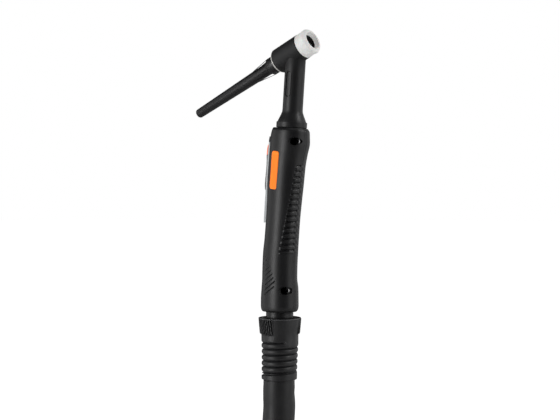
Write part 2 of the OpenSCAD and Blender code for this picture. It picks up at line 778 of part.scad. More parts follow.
module in_tail() { in_end() translate([tail_x, 0, boot_l]) children(); }
nut_low = tail_out - 6;
module gas_connector() {
    low = nut_low + nut_lip + free;
    high = low + tail_flange_l;
    color(BRASS) in_tail() difference() {
        union() {
            rod(hose_tail_r, -11.5, tail_out);
            rod(tail_flange_r, low, high);
            translate([0, 0, high]) cylinder(r1 = cone_r, r2 = cone_r - 2, h = cone_l);
        }
        rod(2, -12, high + cone_l + 1);
    }
}

module connector_nut() {
    shoulder = nut_low + nut_lip + 2 * free + tail_flange_l + cone_l;
    color(BRASS) in_tail() difference() {
        translate([0, 0, nut_low]) cylinder(r = nut_flats / sqrt(3), h = nut_l, $fn = 6);
        rod(hose_tail_r + fit, nut_low - 1, nut_low + nut_lip + 1);
        rod(tail_flange_r + free, nut_low + nut_lip, shoulder);
        rod(nut_thread_r, shoulder - 1, nut_low + nut_l + 1);
    }
}

// Control lead: out of the boot, along the surface and up into its plug
LEAD = [[0.5, 0, 3], [2.5, 0, 8], [4, 1, 16], [4.5, 4, 25], [4.5, 7, 35], [4.5, 9, 45],
    [4, 8, 55], [4, 5, 65]];
plug_x = 4;
plug_z = 74;
module control_lead() {
    route = concat([[lead_x, 0, boot_l - 9.5]],
        [for (p = LEAD) [lead_x + p[0], p[1], boot_l + p[2]]],
        [[lead_x + plug_x, 3, boot_l + plug_z]]);
    color(BLACK) in_end() tube(route, lead_d, 8, [1, 0, 0], [0, 0, 1], [0, 0, 1]);
}
module in_plug() { in_end() translate([lead_x + plug_x, 3, boot_l + plug_z]) children(); }
plug_l = 26;
ring_l = 12;
module control_plug() {
    color(BLACK) in_plug() difference() {
        union() {
            rotate_extrude() polygon([[0, 0], [4.6, 0], [6, 5], [plug_d / 2 - 1, 8],
                [plug_d / 2 - 1, plug_l - ring_l], [plug_d / 2 - 2.6, plug_l - ring_l],
                [plug_d / 2 - 2.6, plug_l], [0, plug_l]]);
        }
        rod(plug_d / 2 - 3.8, plug_l - 6, plug_l + 1);
    }
}
module plug_ring() {
    color(STEEL) in_plug()
        sleeve(plug_d / 2, plug_d / 2 - 2.6 + fit, plug_l - ring_l + 0.2, plug_l + 2);
}
module plug_pins() {
    pins = 5;
    color(BRASS) in_plug() for (k = [0 : pins - 1]) rotate([0, 0, 360 * k / pins])
        translate([3, 0, plug_l - 6]) cylinder(r = 0.6, h = 5.5);
}

torch_head();
head_cover();
front_insulator();
back_cap();
cap_seal();
handle_shell_left();
handle_shell_right();
handle_screws();
badge_left();
badge_right();
switch_housing();
blanking_plate();
push_button();
button_marker();
button_spring();
microswitch();
switch_board();
neck_retainer();
hose_ferrule();
power_hose();
control_wires();
ball_stem();
seat_ring_upper();
seat_ring_lower();
bend_relief();
cable_drop();
cable_coil();
coil_ties();
end_boot();
gas_connector();
connector_nut();
control_lead();
control_plug();
plug_ring();
plug_pins();
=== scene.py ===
"""TIG torch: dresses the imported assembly. Lengths in the builders are millimetres; mesh data is in metres."""
import json
import math
from math import cos, pi, radians, sin

import bpy
from mathutils import Matrix, Vector, noise
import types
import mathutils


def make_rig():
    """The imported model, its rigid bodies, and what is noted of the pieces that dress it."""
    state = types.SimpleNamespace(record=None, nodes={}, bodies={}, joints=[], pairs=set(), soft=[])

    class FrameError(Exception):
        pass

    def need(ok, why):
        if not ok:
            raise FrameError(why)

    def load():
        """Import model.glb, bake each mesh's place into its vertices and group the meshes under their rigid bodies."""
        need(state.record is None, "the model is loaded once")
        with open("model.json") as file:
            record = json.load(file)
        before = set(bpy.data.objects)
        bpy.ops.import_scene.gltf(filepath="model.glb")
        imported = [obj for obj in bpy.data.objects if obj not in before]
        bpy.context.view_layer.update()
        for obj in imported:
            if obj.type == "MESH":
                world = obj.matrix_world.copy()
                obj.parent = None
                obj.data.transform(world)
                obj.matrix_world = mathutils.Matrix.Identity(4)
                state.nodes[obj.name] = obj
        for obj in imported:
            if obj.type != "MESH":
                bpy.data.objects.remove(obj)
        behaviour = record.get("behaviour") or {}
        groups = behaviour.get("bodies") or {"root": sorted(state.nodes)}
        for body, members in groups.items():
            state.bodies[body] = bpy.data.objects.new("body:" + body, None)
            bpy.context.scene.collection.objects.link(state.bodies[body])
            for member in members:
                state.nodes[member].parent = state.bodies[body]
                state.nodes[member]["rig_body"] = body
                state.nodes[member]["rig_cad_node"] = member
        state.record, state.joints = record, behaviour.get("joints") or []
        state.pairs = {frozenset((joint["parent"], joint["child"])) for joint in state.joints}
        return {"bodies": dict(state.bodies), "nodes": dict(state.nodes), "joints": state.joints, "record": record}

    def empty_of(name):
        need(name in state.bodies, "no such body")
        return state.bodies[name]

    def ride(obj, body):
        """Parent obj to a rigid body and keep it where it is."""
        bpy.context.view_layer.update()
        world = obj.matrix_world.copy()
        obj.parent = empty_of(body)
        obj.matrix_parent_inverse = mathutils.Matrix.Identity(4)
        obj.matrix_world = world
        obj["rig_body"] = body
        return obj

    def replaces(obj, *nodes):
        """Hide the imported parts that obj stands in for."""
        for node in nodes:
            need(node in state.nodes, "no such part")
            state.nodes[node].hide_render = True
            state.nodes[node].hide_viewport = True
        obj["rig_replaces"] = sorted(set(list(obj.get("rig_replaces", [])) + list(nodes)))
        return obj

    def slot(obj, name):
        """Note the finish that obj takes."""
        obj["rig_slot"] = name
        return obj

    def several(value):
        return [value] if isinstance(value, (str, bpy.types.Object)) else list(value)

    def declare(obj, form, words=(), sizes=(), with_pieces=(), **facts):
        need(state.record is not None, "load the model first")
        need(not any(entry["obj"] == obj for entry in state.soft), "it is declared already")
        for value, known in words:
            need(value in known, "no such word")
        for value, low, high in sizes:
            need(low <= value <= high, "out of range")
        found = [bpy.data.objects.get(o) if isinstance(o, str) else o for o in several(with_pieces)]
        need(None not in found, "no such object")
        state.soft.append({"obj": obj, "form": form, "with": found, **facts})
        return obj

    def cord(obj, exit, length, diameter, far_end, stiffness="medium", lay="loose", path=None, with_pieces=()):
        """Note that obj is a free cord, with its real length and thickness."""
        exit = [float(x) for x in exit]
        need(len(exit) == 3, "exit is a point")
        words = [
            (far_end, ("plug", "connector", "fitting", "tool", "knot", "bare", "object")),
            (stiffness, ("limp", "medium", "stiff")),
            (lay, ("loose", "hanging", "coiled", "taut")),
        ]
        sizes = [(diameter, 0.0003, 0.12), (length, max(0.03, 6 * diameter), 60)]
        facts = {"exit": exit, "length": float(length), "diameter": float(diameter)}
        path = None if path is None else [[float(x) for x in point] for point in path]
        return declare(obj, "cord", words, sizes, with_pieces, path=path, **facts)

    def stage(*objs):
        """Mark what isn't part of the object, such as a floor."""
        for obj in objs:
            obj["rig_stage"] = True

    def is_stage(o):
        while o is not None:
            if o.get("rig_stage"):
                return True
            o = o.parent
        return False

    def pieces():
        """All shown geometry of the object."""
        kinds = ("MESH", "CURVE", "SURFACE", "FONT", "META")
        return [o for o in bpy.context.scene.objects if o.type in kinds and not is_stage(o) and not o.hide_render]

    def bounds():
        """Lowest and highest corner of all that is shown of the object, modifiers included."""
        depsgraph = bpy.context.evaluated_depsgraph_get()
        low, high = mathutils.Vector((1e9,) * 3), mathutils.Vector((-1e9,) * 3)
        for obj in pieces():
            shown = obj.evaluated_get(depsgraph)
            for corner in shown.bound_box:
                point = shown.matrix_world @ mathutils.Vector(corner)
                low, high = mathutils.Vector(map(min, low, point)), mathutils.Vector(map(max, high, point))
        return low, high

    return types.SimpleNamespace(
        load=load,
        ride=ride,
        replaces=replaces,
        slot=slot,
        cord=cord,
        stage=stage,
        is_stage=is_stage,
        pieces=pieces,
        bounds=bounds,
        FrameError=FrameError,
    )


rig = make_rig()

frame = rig.load()
cad_low, cad_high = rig.bounds()
nodes = frame["nodes"]
scene = bpy.context.scene
MM = 0.001


def move(x, y, z):
    return Matrix.Translation((x, y, z))


def rot(degrees, axis):
    return Matrix.Rotation(radians(degrees), 4, axis)


# ---------- numbers shared with the CAD, in mm and degrees
BARREL_TILT, NECK_LEAN = 68.2, 4.5
BARREL_R, BARREL_FRONT, BARREL_BACK = 10.9, 8.0, 20.0
NECK_R, NECK_L, FLANGE_R, FLANGE_H, CONE_H = 8.6, 64.8, 13.0, 4.5, 8.4
INS_L, INS_R, INS_BORE = 11.1, 11.0, 6.4
CAP_L, COLLAR_R, COLLAR_L, ROOT_R, TIP_R = 104.0, 7.6, 9.2, 5.45, 4.15
HANDLE_L, HANDLE_W, HANDLE_T, BOW = 155.4, 34.8, 30.0, 11.5
# the grip from its foot up: share of its length, share of the bow, share of its width
GRIP = [(0, -0.02, 0.87), (0.011, -0.01, 0.935), (0.029, 0, 0.96), (0.064, 0, 0.958), (0.128, 0.02, 0.935),
        (0.18, 0, 0.892), (0.244, 0.02, 0.89), (0.32, 0.08, 0.89), (0.397, 0.19, 0.872), (0.5, 0.32, 0.868),
        (0.603, 0.46, 0.885), (0.71, 0.585, 0.925), (0.795, 0.71, 0.935), (0.859, 0.845, 0.962), (0.923, 1, 1),
        (0.958, 1.02, 0.985), (0.984, 1.06, 0.95), (1, 1.05, 0.87)]
# exponent of the grip's section, 2 is an ellipse
ROUNDNESS = 2.15
STEM_X = -BOW * 0.32
LOW, TOP = -HANDLE_L / 2, HANDLE_L / 2
BALL_Z = LOW - 18.9
FLANGE_X, FLANGE_Z = STEM_X + BOW * 1.05 + 1, TOP + 0.3
HEAD_X = FLANGE_X + NECK_L * sin(radians(NECK_LEAN))
HEAD_Z = FLANGE_Z + NECK_L * cos(radians(NECK_LEAN))
IN_BARREL = move(HEAD_X, 0, HEAD_Z) @ rot(BARREL_TILT, "Y")
IN_NECK = move(HEAD_X, 0, HEAD_Z) @ rot(NECK_LEAN, "Y")
IN_BALL = move(STEM_X, 0, BALL_Z)
COIL_X, COIL_Y, COIL_BED = -16.0, 7.0, -520.0
CABLE_D, GAP, COIL_R, LAYER_TURNS = 27.0, 0.6, 110.0, 2
PITCH, LAYER = CABLE_D + GAP + 0.4, CABLE_D + GAP
LOW_LAYER = COIL_BED + CABLE_D / 2
TOP_LAYER = LOW_LAYER + LAYER
OUTER_R = COIL_R + PITCH * LAYER_TURNS
BOOT_L, TAIL_X, LEAD_X = 46.0, -4.5, 8.0
IN_END = move(STEM_X + COIL_X + OUTER_R, COIL_Y + CABLE_D, LOW_LAYER) @ rot(-90, "X")


# ---------- camera
CAMERA_AZIMUTH, CAMERA_DISTANCE, CAMERA_SIDE, CAMERA_Z, LENS, SENSOR = 40, 830, -2.55, 8.56, 62.68, 36


def make_camera():
    az = radians(CAMERA_AZIMUTH)
    to_cam = Vector((sin(az), -cos(az), 0))
    right = Vector((cos(az), sin(az), 0))
    cam = bpy.data.cameras.new("Camera")
    cam.lens, cam.sensor_width = LENS, SENSOR
    cam.clip_start, cam.clip_end = 0.01, 100
    obj = bpy.data.objects.new("Camera", cam)
    scene.collection.objects.link(obj)
    obj.location = (to_cam * CAMERA_DISTANCE + right * CAMERA_SIDE + Vector((0, 0, CAMERA_Z))) * MM
    obj.rotation_mode = "QUATERNION"
    obj.rotation_quaternion = (-to_cam).to_track_quat("-Z", "Y")
    scene.camera = obj


make_camera()


# ---------- small maths
def clamp(x, low=0.0, high=1.0):
    return max(low, min(high, x))


def smooth(a, b, x):
    t = clamp((x - a) / (b - a))
    return t * t * (3 - 2 * t)


def spline_table(rows, column):
    """Monotone cubic through each row's first number and the number in the column."""
    xs = [r[0] for r in rows]
    ys = [r[column] for r in rows]
    n = len(xs)
    d = [(ys[i + 1] - ys[i]) / (xs[i + 1] - xs[i]) for i in range(n - 1)]
    m = [0 if a * b <= 0 else 2 * a * b / (a + b) for a, b in zip(d, d[1:])]
    m = [d[0]] + m + [d[-1]]

    def value(x):
        x = clamp(x, xs[0], xs[-1])
        i = max(j for j in range(n - 1) if xs[j] <= x)
        h = xs[i + 1] - xs[i]
        t = (x - xs[i]) / h
        return ((1 + 2 * t) * (1 - t) ** 2 * ys[i] + t * (1 - t) ** 2 * h * m[i]
                + t * t * (3 - 2 * t) * ys[i + 1] + t * t * (t - 1) * h * m[i + 1])
    return value


bow_at = spline_table(GRIP, 1)
width_at = spline_table(GRIP, 2)


def grip_x(z):
    """Middle of the grip's section at height z."""
    return STEM_X + BOW * bow_at((z - LOW) / HANDLE_L)


def grip_a(z):
    """Half width of the section along X."""
    return HANDLE_W / 2 * width_at((z - LOW) / HANDLE_L)


def grip_b(z):
    """Half width of the section along Y."""
    return HANDLE_T / 2 * width_at((z - LOW) / HANDLE_L)


def rear_x(z):
    """The grip's back, where the switch sits."""
    return grip_x(z) - grip_a(z)


def side_y(z, dx):
    """The grip's side, dx from the middle of its section."""
    return grip_b(z) * (1 - (abs(dx) / grip_a(z)) ** ROUNDNESS) ** (1 / ROUNDNESS)


# ---------- mesh building
def link(name, verts, faces, matrix=None, sharp=35):
    """Object from points in millimetres; edges over the sharp angle stay crisp."""
    mesh = bpy.data.meshes.new(name)
    if matrix is not None:
        verts = [matrix @ Vector(v) for v in verts]
    mesh.from_pydata([(v[0] * MM, v[1] * MM, v[2] * MM) for v in verts], [], faces)
    mesh.validate()
    mesh.update()
    obj = bpy.data.objects.new(name, mesh)
    scene.collection.objects.link(obj)
    shade(obj, sharp)
    return obj


def shade(obj, sharp=35):
    mesh = obj.data
    mesh.polygons.foreach_set("use_smooth", [True] * len(mesh.polygons))
    mesh.set_sharp_from_angle(angle=radians(sharp))


def skin(rings, wrap=False, caps=True):
    """Quads over closed rings with equal numbers of points; wrap joins the last ring to the first."""
    n, m = len(rings[0]), len(rings)
    verts = [p for ring in rings for p in ring]
    faces = []
    for i in range(m if wrap else m - 1):
        a, b = i * n, ((i + 1) % m) * n
        for k in range(n):
            j = (k + 1) % n
            faces.append((a + k, a + j, b + j, b + k))
    if caps and not wrap:
        faces.append(tuple(range(n - 1, -1, -1)))
        faces.append(tuple((m - 1) * n + k for k in range(n)))
    return verts, faces


def circle(sides):
    """Unit circle's points."""
    return [(cos(2 * pi * k / sides), sin(2 * pi * k / sides)) for k in range(sides)]


def turned(name, profile, matrix, sides=96, wrap=False):
    """Solid of revolution about local Z; profile is [(r, z), ...] from bottom to top, a closed loop if wrap."""
    rings = [[(r * c, r * s, z) for c, s in circle(sides)] for r, z in profile]
    return link(name, *skin(rings, wrap=wrap), matrix)


def arc(cx, cz, r, a0, a1, steps=8):
    """Points of an arc in the (r, z) plane, angles in degrees from +r."""
    return [(cx + r * cos(radians(a0 + (a1 - a0) * i / steps)),
             cz + r * sin(radians(a0 + (a1 - a0) * i / steps))) for i in range(steps + 1)]


def boolean(obj, tool, kind="DIFFERENCE"):
    """Cuts the tool from obj, or joins it to it, and deletes the tool."""
    mod = obj.modifiers.new("cut", "BOOLEAN")
    mod.operation, mod.object, mod.solver = kind, tool, "MANIFOLD"
    dg = bpy.context.evaluated_depsgraph_get()
    made = bpy.data.meshes.new_from_object(obj.evaluated_get(dg))
    obj.modifiers.remove(mod)
    old = obj.data
    obj.data = made
    bpy.data.meshes.remove(old)
    bpy.data.objects.remove(tool)
    return obj


def bevel(obj, width, segments=2):
    mod = obj.modifiers.new("edges", "BEVEL")
    mod.width, mod.segments, mod.limit_method, mod.angle_limit = width * MM, segments, "ANGLE", radians(40)
    mod.harden_normals = True
    return obj


def cylinder(name, r, z0, z1, matrix, sides=64):
    return turned(name, [(r, z0), (r, z1)], matrix, sides)


def block(name, x0, x1, y0, y1, z0, z1):
    v = [(x, y, z) for z in (z0, z1) for x, y in ((x0, y0), (x1, y0), (x1, y1), (x0, y1))]
    f = [(3, 2, 1, 0), (4, 5, 6, 7), (0, 1, 5, 4), (1, 2, 6, 5), (2, 3, 7, 6), (3, 0, 4, 7)]
    return link(name, v, f)


# ---------- materials
class Mat:
    """A node material with helpers for procedural detail in object coordinates."""

    def __init__(self, name, rgb, rough, spec=0.5, metal=0.0):
        self.m = bpy.data.materials.new(name)
        self.m.use_nodes = True
        self.t = self.m.node_tree
        self.b = self.t.nodes["Principled BSDF"]
        self.rgb = rgb
        self.b.inputs["Base Color"].default_value = (*rgb, 1)
        self.b.inputs["Roughness"].default_value = rough
        self.b.inputs["Specular IOR Level"].default_value = spec
        self.b.inputs["Metallic"].default_value = metal
        self.co = self.t.nodes.new("ShaderNodeTexCoord")
        self.normal = None

    def node(self, kind, **inputs):
        n = self.t.nodes.new(kind)
        for k, v in inputs.items():
            n.inputs[k.replace("_", " ")].default_value = v
        return n

    def wire(self, a, b):
        self.t.links.new(a, b)

    def noise(self, scale, detail=3.0, roughness=0.55, stretch=None):
        n = self.node("ShaderNodeTexNoise", Scale=scale, Detail=detail, Roughness=roughness)
        source = self.co.outputs["Object"]
        if stretch:
            mp = self.node("ShaderNodeMapping")
            mp.inputs["Scale"].default_value = stretch
            self.wire(source, mp.inputs["Vector"])
            source = mp.outputs["Vector"]
        self.wire(source, n.inputs["Vector"])
        return n.outputs["Fac"]

    def cells(self, scale):
        n = self.node("ShaderNodeTexVoronoi", Scale=scale)
        self.wire(self.co.outputs["Object"], n.inputs["Vector"])
        return n.outputs["Distance"]

    def vary(self, fac, dark, light):
        """Base colour between two multiples of the material's colour."""
        ramp = self.node("ShaderNodeValToRGB")
        ramp.color_ramp.elements[0].position, ramp.color_ramp.elements[1].position = 0.3, 0.7
        ramp.color_ramp.elements[0].color = (*[c * dark for c in self.rgb], 1)
        ramp.color_ramp.elements[1].color = (*[min(1, c * light) for c in self.rgb], 1)
        self.wire(fac, ramp.inputs["Fac"])
        self.wire(ramp.outputs["Color"], self.b.inputs["Base Color"])
        return self

    def roughen(self, fac, low, high, start=0.0, end=1.0):
        """Roughness from low to high as the factor goes from start to end."""
        r = self.node("ShaderNodeMapRange", From_Min=start, From_Max=end, To_Min=low, To_Max=high)
        self.wire(fac, r.inputs["Value"])
        self.wire(r.outputs["Result"], self.b.inputs["Roughness"])
        return self

    def roughen_up(self, z0, z1, low, high):
        """Roughness rising with the object's height, z0 and z1 in metres."""
        parts = self.node("ShaderNodeSeparateXYZ")
        self.wire(self.co.outputs["Object"], parts.inputs[0])
        return self.roughen(parts.outputs["Z"], low, high, z0, z1)

    def bump(self, fac, distance_mm, strength=1.0):
        n = self.node("ShaderNodeBump", Strength=strength, Distance=distance_mm * MM)
        self.wire(fac, n.inputs["Height"])
        if self.normal is not None:
            self.wire(self.normal, n.inputs["Normal"])
        self.normal = n.outputs["Normal"]
        self.wire(self.normal, self.b.inputs["Normal"])
        return self


def moulded(name, rgb, rough, grain=900, depth=0.03, spec=0.5, patch=0.05, glow=0.0):
    """Moulded plastic: a fine grain of the depth in mm, and roughness that varies by patch; glow is emission in the
    plastic's colour, painted light that brightens the part.
    """
    m = Mat(name, rgb, rough, spec)
    m.vary(m.noise(60, 4), 0.86, 1.16)
    m.roughen(m.noise(160, 4), rough - patch, rough + patch)
    m.bump(m.noise(grain, 2), depth, 0.6)
    m.b.inputs["Emission Color"].default_value = (*rgb, 1)
    m.b.inputs["Emission Strength"].default_value = glow
    return m


grip_black = moulded("grip black", (0.008, 0.008, 0.009), 0.42, 1400, 0.025).m
head_black = moulded("head black", (0.009, 0.009, 0.01), 0.45, 1100, 0.03).roughen_up(0.124, 0.134, 0.45, 0.62).m
cap_black = moulded("cap black", (0.008, 0.008, 0.009), 0.38, 1400, 0.002, 0.5, 0.01).m
stem_black = moulded("stem black", (0.012, 0.012, 0.013), 0.42, 900, 0.02).m
relief_black = moulded("relief rubber", (0.012, 0.012, 0.013), 0.46, 1000, 0.025, 0.6).m
# lighter colour and glow on thin edge pieces: a painted highlight on the cup's rim and the groove's lip
highlight_edge_black = moulded("worn edge", (0.09, 0.09, 0.095), 0.24, 900, 0.005, 1.0, 0.02, 0.15).m
button_black = moulded("button black", (0.014, 0.014, 0.015), 0.38, 1600, 0.03).m
inner_black = moulded("inner black", (0.006, 0.006, 0.006), 0.6).m
# steel with a glow: a painted glint on the screws' edges
screw_glint_steel = moulded("screw steel", (0.6, 0.6, 0.6), 0.3, 900, 0.01, 1.0, glow=0.3).m
# glow: painted light that brightens the grey strips and the switch housing
bezel_grey = moulded("bezel grey", (0.5, 0.52, 0.53), 0.35, 800, 0.01, glow=0.18).m
# glow: painted light that brightens the orange badges
badge_orange = moulded("badge orange", (1.0, 0.2, 0.006), 0.4, 700, 0.004, glow=0.6).m
# glow: painted light that brightens the orange marker
marker_orange = moulded("marker orange", (0.95, 0.2, 0.1), 0.4, 700, 0.01, glow=0.4).m
board_green = moulded("board green", (0.02, 0.13, 0.06), 0.45).m


def ceramic():
    m = Mat("insulator white", (0.82, 0.82, 0.805), 0.42, 0.5)
    m.vary(m.noise(45, 3), 0.95, 1.03)
    m.roughen(m.noise(220, 3), 0.38, 0.5)
    m.bump(m.noise(1300, 2), 0.012, 0.5)
    m.b.inputs["Subsurface Weight"].default_value = 0.12
    # emission: painted light that brightens the white insulator
    m.b.inputs["Emission Color"].default_value = (1, 1, 0.98, 1)
    m.b.inputs["Emission Strength"].default_value = 0.24
    m.b.inputs["Subsurface Scale"].default_value = 0.002
    return m.m


def brass():
    m = Mat("machined brass", (0.78, 0.57, 0.26), 0.26, 0.5, 1.0)
    m.vary(m.noise(90, 4), 0.84, 1.08)
    m.roughen(m.noise(500, 3), 0.2, 0.36)
    m.bump(m.noise(160, 3, stretch=(8, 0.6, 8)), 0.01, 0.5)
    return m.m


def dark_brass():
    # near-black brass for the torch head, seen only down the insulator's bore
    m = Mat("blackened brass", (0.02, 0.017, 0.014), 0.5, 0.4, 0.6)
    m.vary(m.noise(300, 4), 0.6, 1.3)
    m.bump(m.noise(900, 2), 0.02, 0.5)
    return m.m


def steel():
    m = Mat("turned steel", (0.6, 0.6, 0.62), 0.28, 0.5, 1.0)
    m.vary(m.noise(200, 3), 0.85, 1.05)
    m.roughen(m.noise(700, 3), 0.2, 0.36)
    m.bump(m.noise(1500, 2), 0.008, 0.5)
    return m.m


def sheath():
    """Smooth synthetic cover with a faint grain and soft handling marks."""
    m = Mat("cable cover", (0.012, 0.012, 0.013), 0.48, 0.5)
    m.vary(m.noise(24, 5), 0.72, 1.3)
    m.roughen(m.noise(70, 4), 0.42, 0.58)
    m.bump(m.noise(40, 3), 0.35, 0.35)
    m.bump(m.cells(1500), 0.03, 0.5)
    return m.m


def webbing():
    m = Mat("tie webbing", (0.03, 0.03, 0.032), 0.85, 0.25)
    m.vary(m.noise(400, 3), 0.6, 1.5)
    m.bump(m.cells(1100), 0.25, 0.9)
    m.b.inputs["Sheen Weight"].default_value = 0.25
    m.b.inputs["Sheen Roughness"].default_value = 0.5
    return m.m


def black_steel():
    # near-black steel for the handle screws, deep in their recesses
    m = Mat("blackened steel", (0.035, 0.035, 0.037), 0.34, 0.5, 0.7)
    m.vary(m.noise(300, 4), 0.7, 1.25)
    m.bump(m.noise(1200, 2), 0.01, 0.5)
    return m.m


insulator_white = ceramic()
brass_mat, dark_brass_mat, steel_mat, black_steel_mat = brass(), dark_brass(), steel(), black_steel()
sheath_mat, webbing_mat = sheath(), webbing()
# glow: painted light that brightens the white seal and seat rings
seal_white = moulded("seal white", (0.8, 0.79, 0.75), 0.45, 600, 0.01, glow=0.15).m


def piece(obj, body, mat, slot, *replaced):
    """Gives the object its material and slot, its body, and the CAD nodes that it stands for."""
    obj.data.materials.clear()
    obj.data.materials.append(mat)
    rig.slot(obj, slot)
    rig.ride(obj, body)
    if replaced:
        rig.replaces(obj, *replaced)
    return obj


# ---------- cable, first
# points of the cable's fall, then the heights where the relief and its straight run end
DROP = [(0, 0, -165), (-2, -4, -202), (-2, -19, -236), (1, -42, -264), (7, -69, -288), (17, -96, -310),
        (31, -120, -334), (50, -135, -361), (72, -140, -389), (96, -134, -417), (118, -117, -442),
        (135, -90, -462), (146, -57, -474)]
RELIEF_END, STRAIGHT_END = BALL_Z - 39.7, -152
# how far the relief's lower end gives towards the rear
SAG = 0.7


def coil_point(turn):
    """Centre of the coil's tube after so many turns: in on the upper layer, then out on the lower."""
    r = COIL_R + PITCH * abs(turn - LAYER_TURNS)
    s = clamp((turn - LAYER_TURNS) / 0.5 + 0.5)
    z = TOP_LAYER - LAYER * (1 - cos(pi * s)) / 2
    a = 2 * pi * turn
    return Vector((COIL_X + r * cos(a), COIL_Y + r * sin(a), z))


def catmull(points, per):
    """Curve through the points, with so many steps for each span."""
    out = []
    for i in range(len(points) - 1):
        p1, p2 = points[i], points[i + 1]
        p0 = points[i - 1] if i else p1 * 2 - p2
        p3 = points[i + 2] if i + 2 < len(points) else p2 * 2 - p1
        for k in range(per):
            t = k / per
            out.append(0.5 * ((2 * p1) + (p2 - p0) * t + (2 * p0 - 5 * p1 + 4 * p2 - p3) * t * t
                              + (3 * p1 - p0 - 3 * p2 + p3) * t ** 3))
    out.append(points[-1])
    return out


def resample(path, step):
    """The path again in even steps."""
    lengths = [0.0]
    for a, b in zip(path, path[1:]):
        lengths.append(lengths[-1] + (b - a).length)
    n = max(2, round(lengths[-1] / step))
    out, j = [], 0
    for i in range(n + 1):
        d = lengths[-1] * i / n
        while j < len(path) - 2 and lengths[j + 1] < d:
            j += 1
        out.append(path[j].lerp(path[j + 1], (d - lengths[j]) / max(1e-9, lengths[j + 1] - lengths[j])))
    return out


def relax(path, rounds, head, tail):
    """Smooths the path, with its first and last points kept."""
    for _ in range(rounds):
        middle = [path[i] * 0.5 + (path[i - 1] + path[i + 1]) * 0.25 for i in range(head, len(path) - tail)]
        path = path[:head] + middle + path[-tail:]
    return path


def run_length(path):
    return sum((b - a).length for a, b in zip(path, path[1:]))


def cable_route():
    """Centreline in millimetres from the relief to the boot."""
    start = [Vector((0, 0, RELIEF_END)), Vector((0, 0, STRAIGHT_END))]
    end = Vector((COIL_X + OUTER_R, COIL_Y - CABLE_D, TOP_LAYER))
    drop = relax(catmull(start + [Vector(p) for p in DROP] + [end], 16), 60, 24, 4)
    steps = 96
    coil = [coil_point(i / steps) for i in range(2 * LAYER_TURNS * steps + 1)]
    last = Vector((COIL_X + OUTER_R, COIL_Y + CABLE_D, LOW_LAYER))
    # the relief gives a little, so the sheath leaves it just off the ball's axis
    return [p + Vector((STEM_X - SAG * (1 - smooth(0, 90, RELIEF_END - p.z)), 0, 0)) for p in drop + coil + [last]]


def tube(name, path, radius, sides, first=None, last=None):
    """Tube along a path; radius is a function of (distance, angle), first and last are its end directions."""
    rings, d, u = [], 0.0, Vector((1, 0, 0))
    for i, p in enumerate(path):
        if i == 0:
            t = Vector(first) if first else (path[1] - path[0])
        elif i == len(path) - 1:
            t = Vector(last) if last else (path[-1] - path[-2])
        else:
            t = path[i + 1] - path[i - 1]
        t = t.normalized()
        u = (u - t * u.dot(t)).normalized()
        v = t.cross(u)
        if i:
            d += (p - path[i - 1]).length
        ring = []
        for k in range(sides):
            a = 2 * pi * k / sides
            ring.append(p + (u * cos(a) + v * sin(a)) * radius(d, a))
        rings.append(ring)
    return link(name, *skin(rings), sharp=60)


def cover_radius(d, a):
    """Radius of the cable's cover d below the relief and at the angle a, with its wrinkles and folds."""
    near = smooth(0, 60, d) * (1 - smooth(350, 520, d))
    wrinkle = noise.noise(Vector((cos(a) * 1.3, sin(a) * 1.3, d * 0.011))) * 0.45
    fold = noise.noise(Vector((cos(a) * 2.2 + 5, sin(a) * 2.2, d * 0.03))) * 0.2
    # soft crease that runs slantwise round the front just below the relief
    line = abs(d - 13 - 7 * sin(a + 0.4)) / 3.2
    crease = 0.55 * math.exp(-line * line) * (0.5 + 0.5 * sin(a + 2.4))
    full = 0.3 * smooth(1, 9, d) * (1 - smooth(120, 260, d))
    r = CABLE_D / 2 + (wrinkle + fold) * (0.1 + 0.9 * near) - 0.12 - crease
    return min(CABLE_D / 2 + 0.05, r) + full


def make_cable():
    path = resample(cable_route(), 3.2)
    cable = tube("cable", path, cover_radius, 40, first=(0, 0, -1), last=(0, 1, 0))
    piece(cable, "cable", sheath_mat, "cable_black", "cable_drop", "cable_coil")
    return cable, path


cable, cable_path = make_cable()


# points of the control lead's run from the boot to its plug
LEAD = [(0, 0, -9.5), (0, 0, 0), (0.5, 0, 3), (2.5, 0, 8), (4, 1, 16), (4.5, 4, 25), (4.5, 7, 35), (4.5, 9, 45),
        (4, 8, 55), (4, 5, 65), (4, 3, 74)]
LEAD_R = 3.0
IN_BOOT_END = IN_END @ move(LEAD_X, 0, BOOT_L)
IN_PLUG = IN_BOOT_END @ move(*LEAD[-1])


def make_lead():
    path = relax(catmull([Vector(p) for p in LEAD], 8), 12, 6, 3)
    path = resample([IN_BOOT_END @ p for p in path], 1.5)
    lead = tube("control_wire", path, lambda d, a: LEAD_R, 24)
    piece(lead, "cable", relief_black, "lead_black", "control_lead")
    return lead, path


lead, lead_path = make_lead()


# ---------- handle shells
GROOVE_TOP, GROOVE_PITCH, GROOVES, GROOVE_DEPTH, LAND_HEIGHT = 47.1, 4.76, 16, 1.15, 0.4
CUTS, CUT_LOW, CUT_PITCH, CUT_SLOPE, CUT_DEPTH, CUT_WIDTH = 9, -63.3, 4.05, 0.74, 0.75, 0.42
SEAM = 0.28
WALL, END_WALL = 2.2, 3.2


def section_tilt(u):
    """The grip's sections lean with the neck towards its upper end."""
    return radians(NECK_LEAN * clamp((u - 0.5) / 0.4))


def squared(c):
    """The section's coordinate for a cosine or sine, rounder than a rectangle and squarer than an ellipse."""
    return math.copysign(abs(c) ** (2 / ROUNDNESS), c)


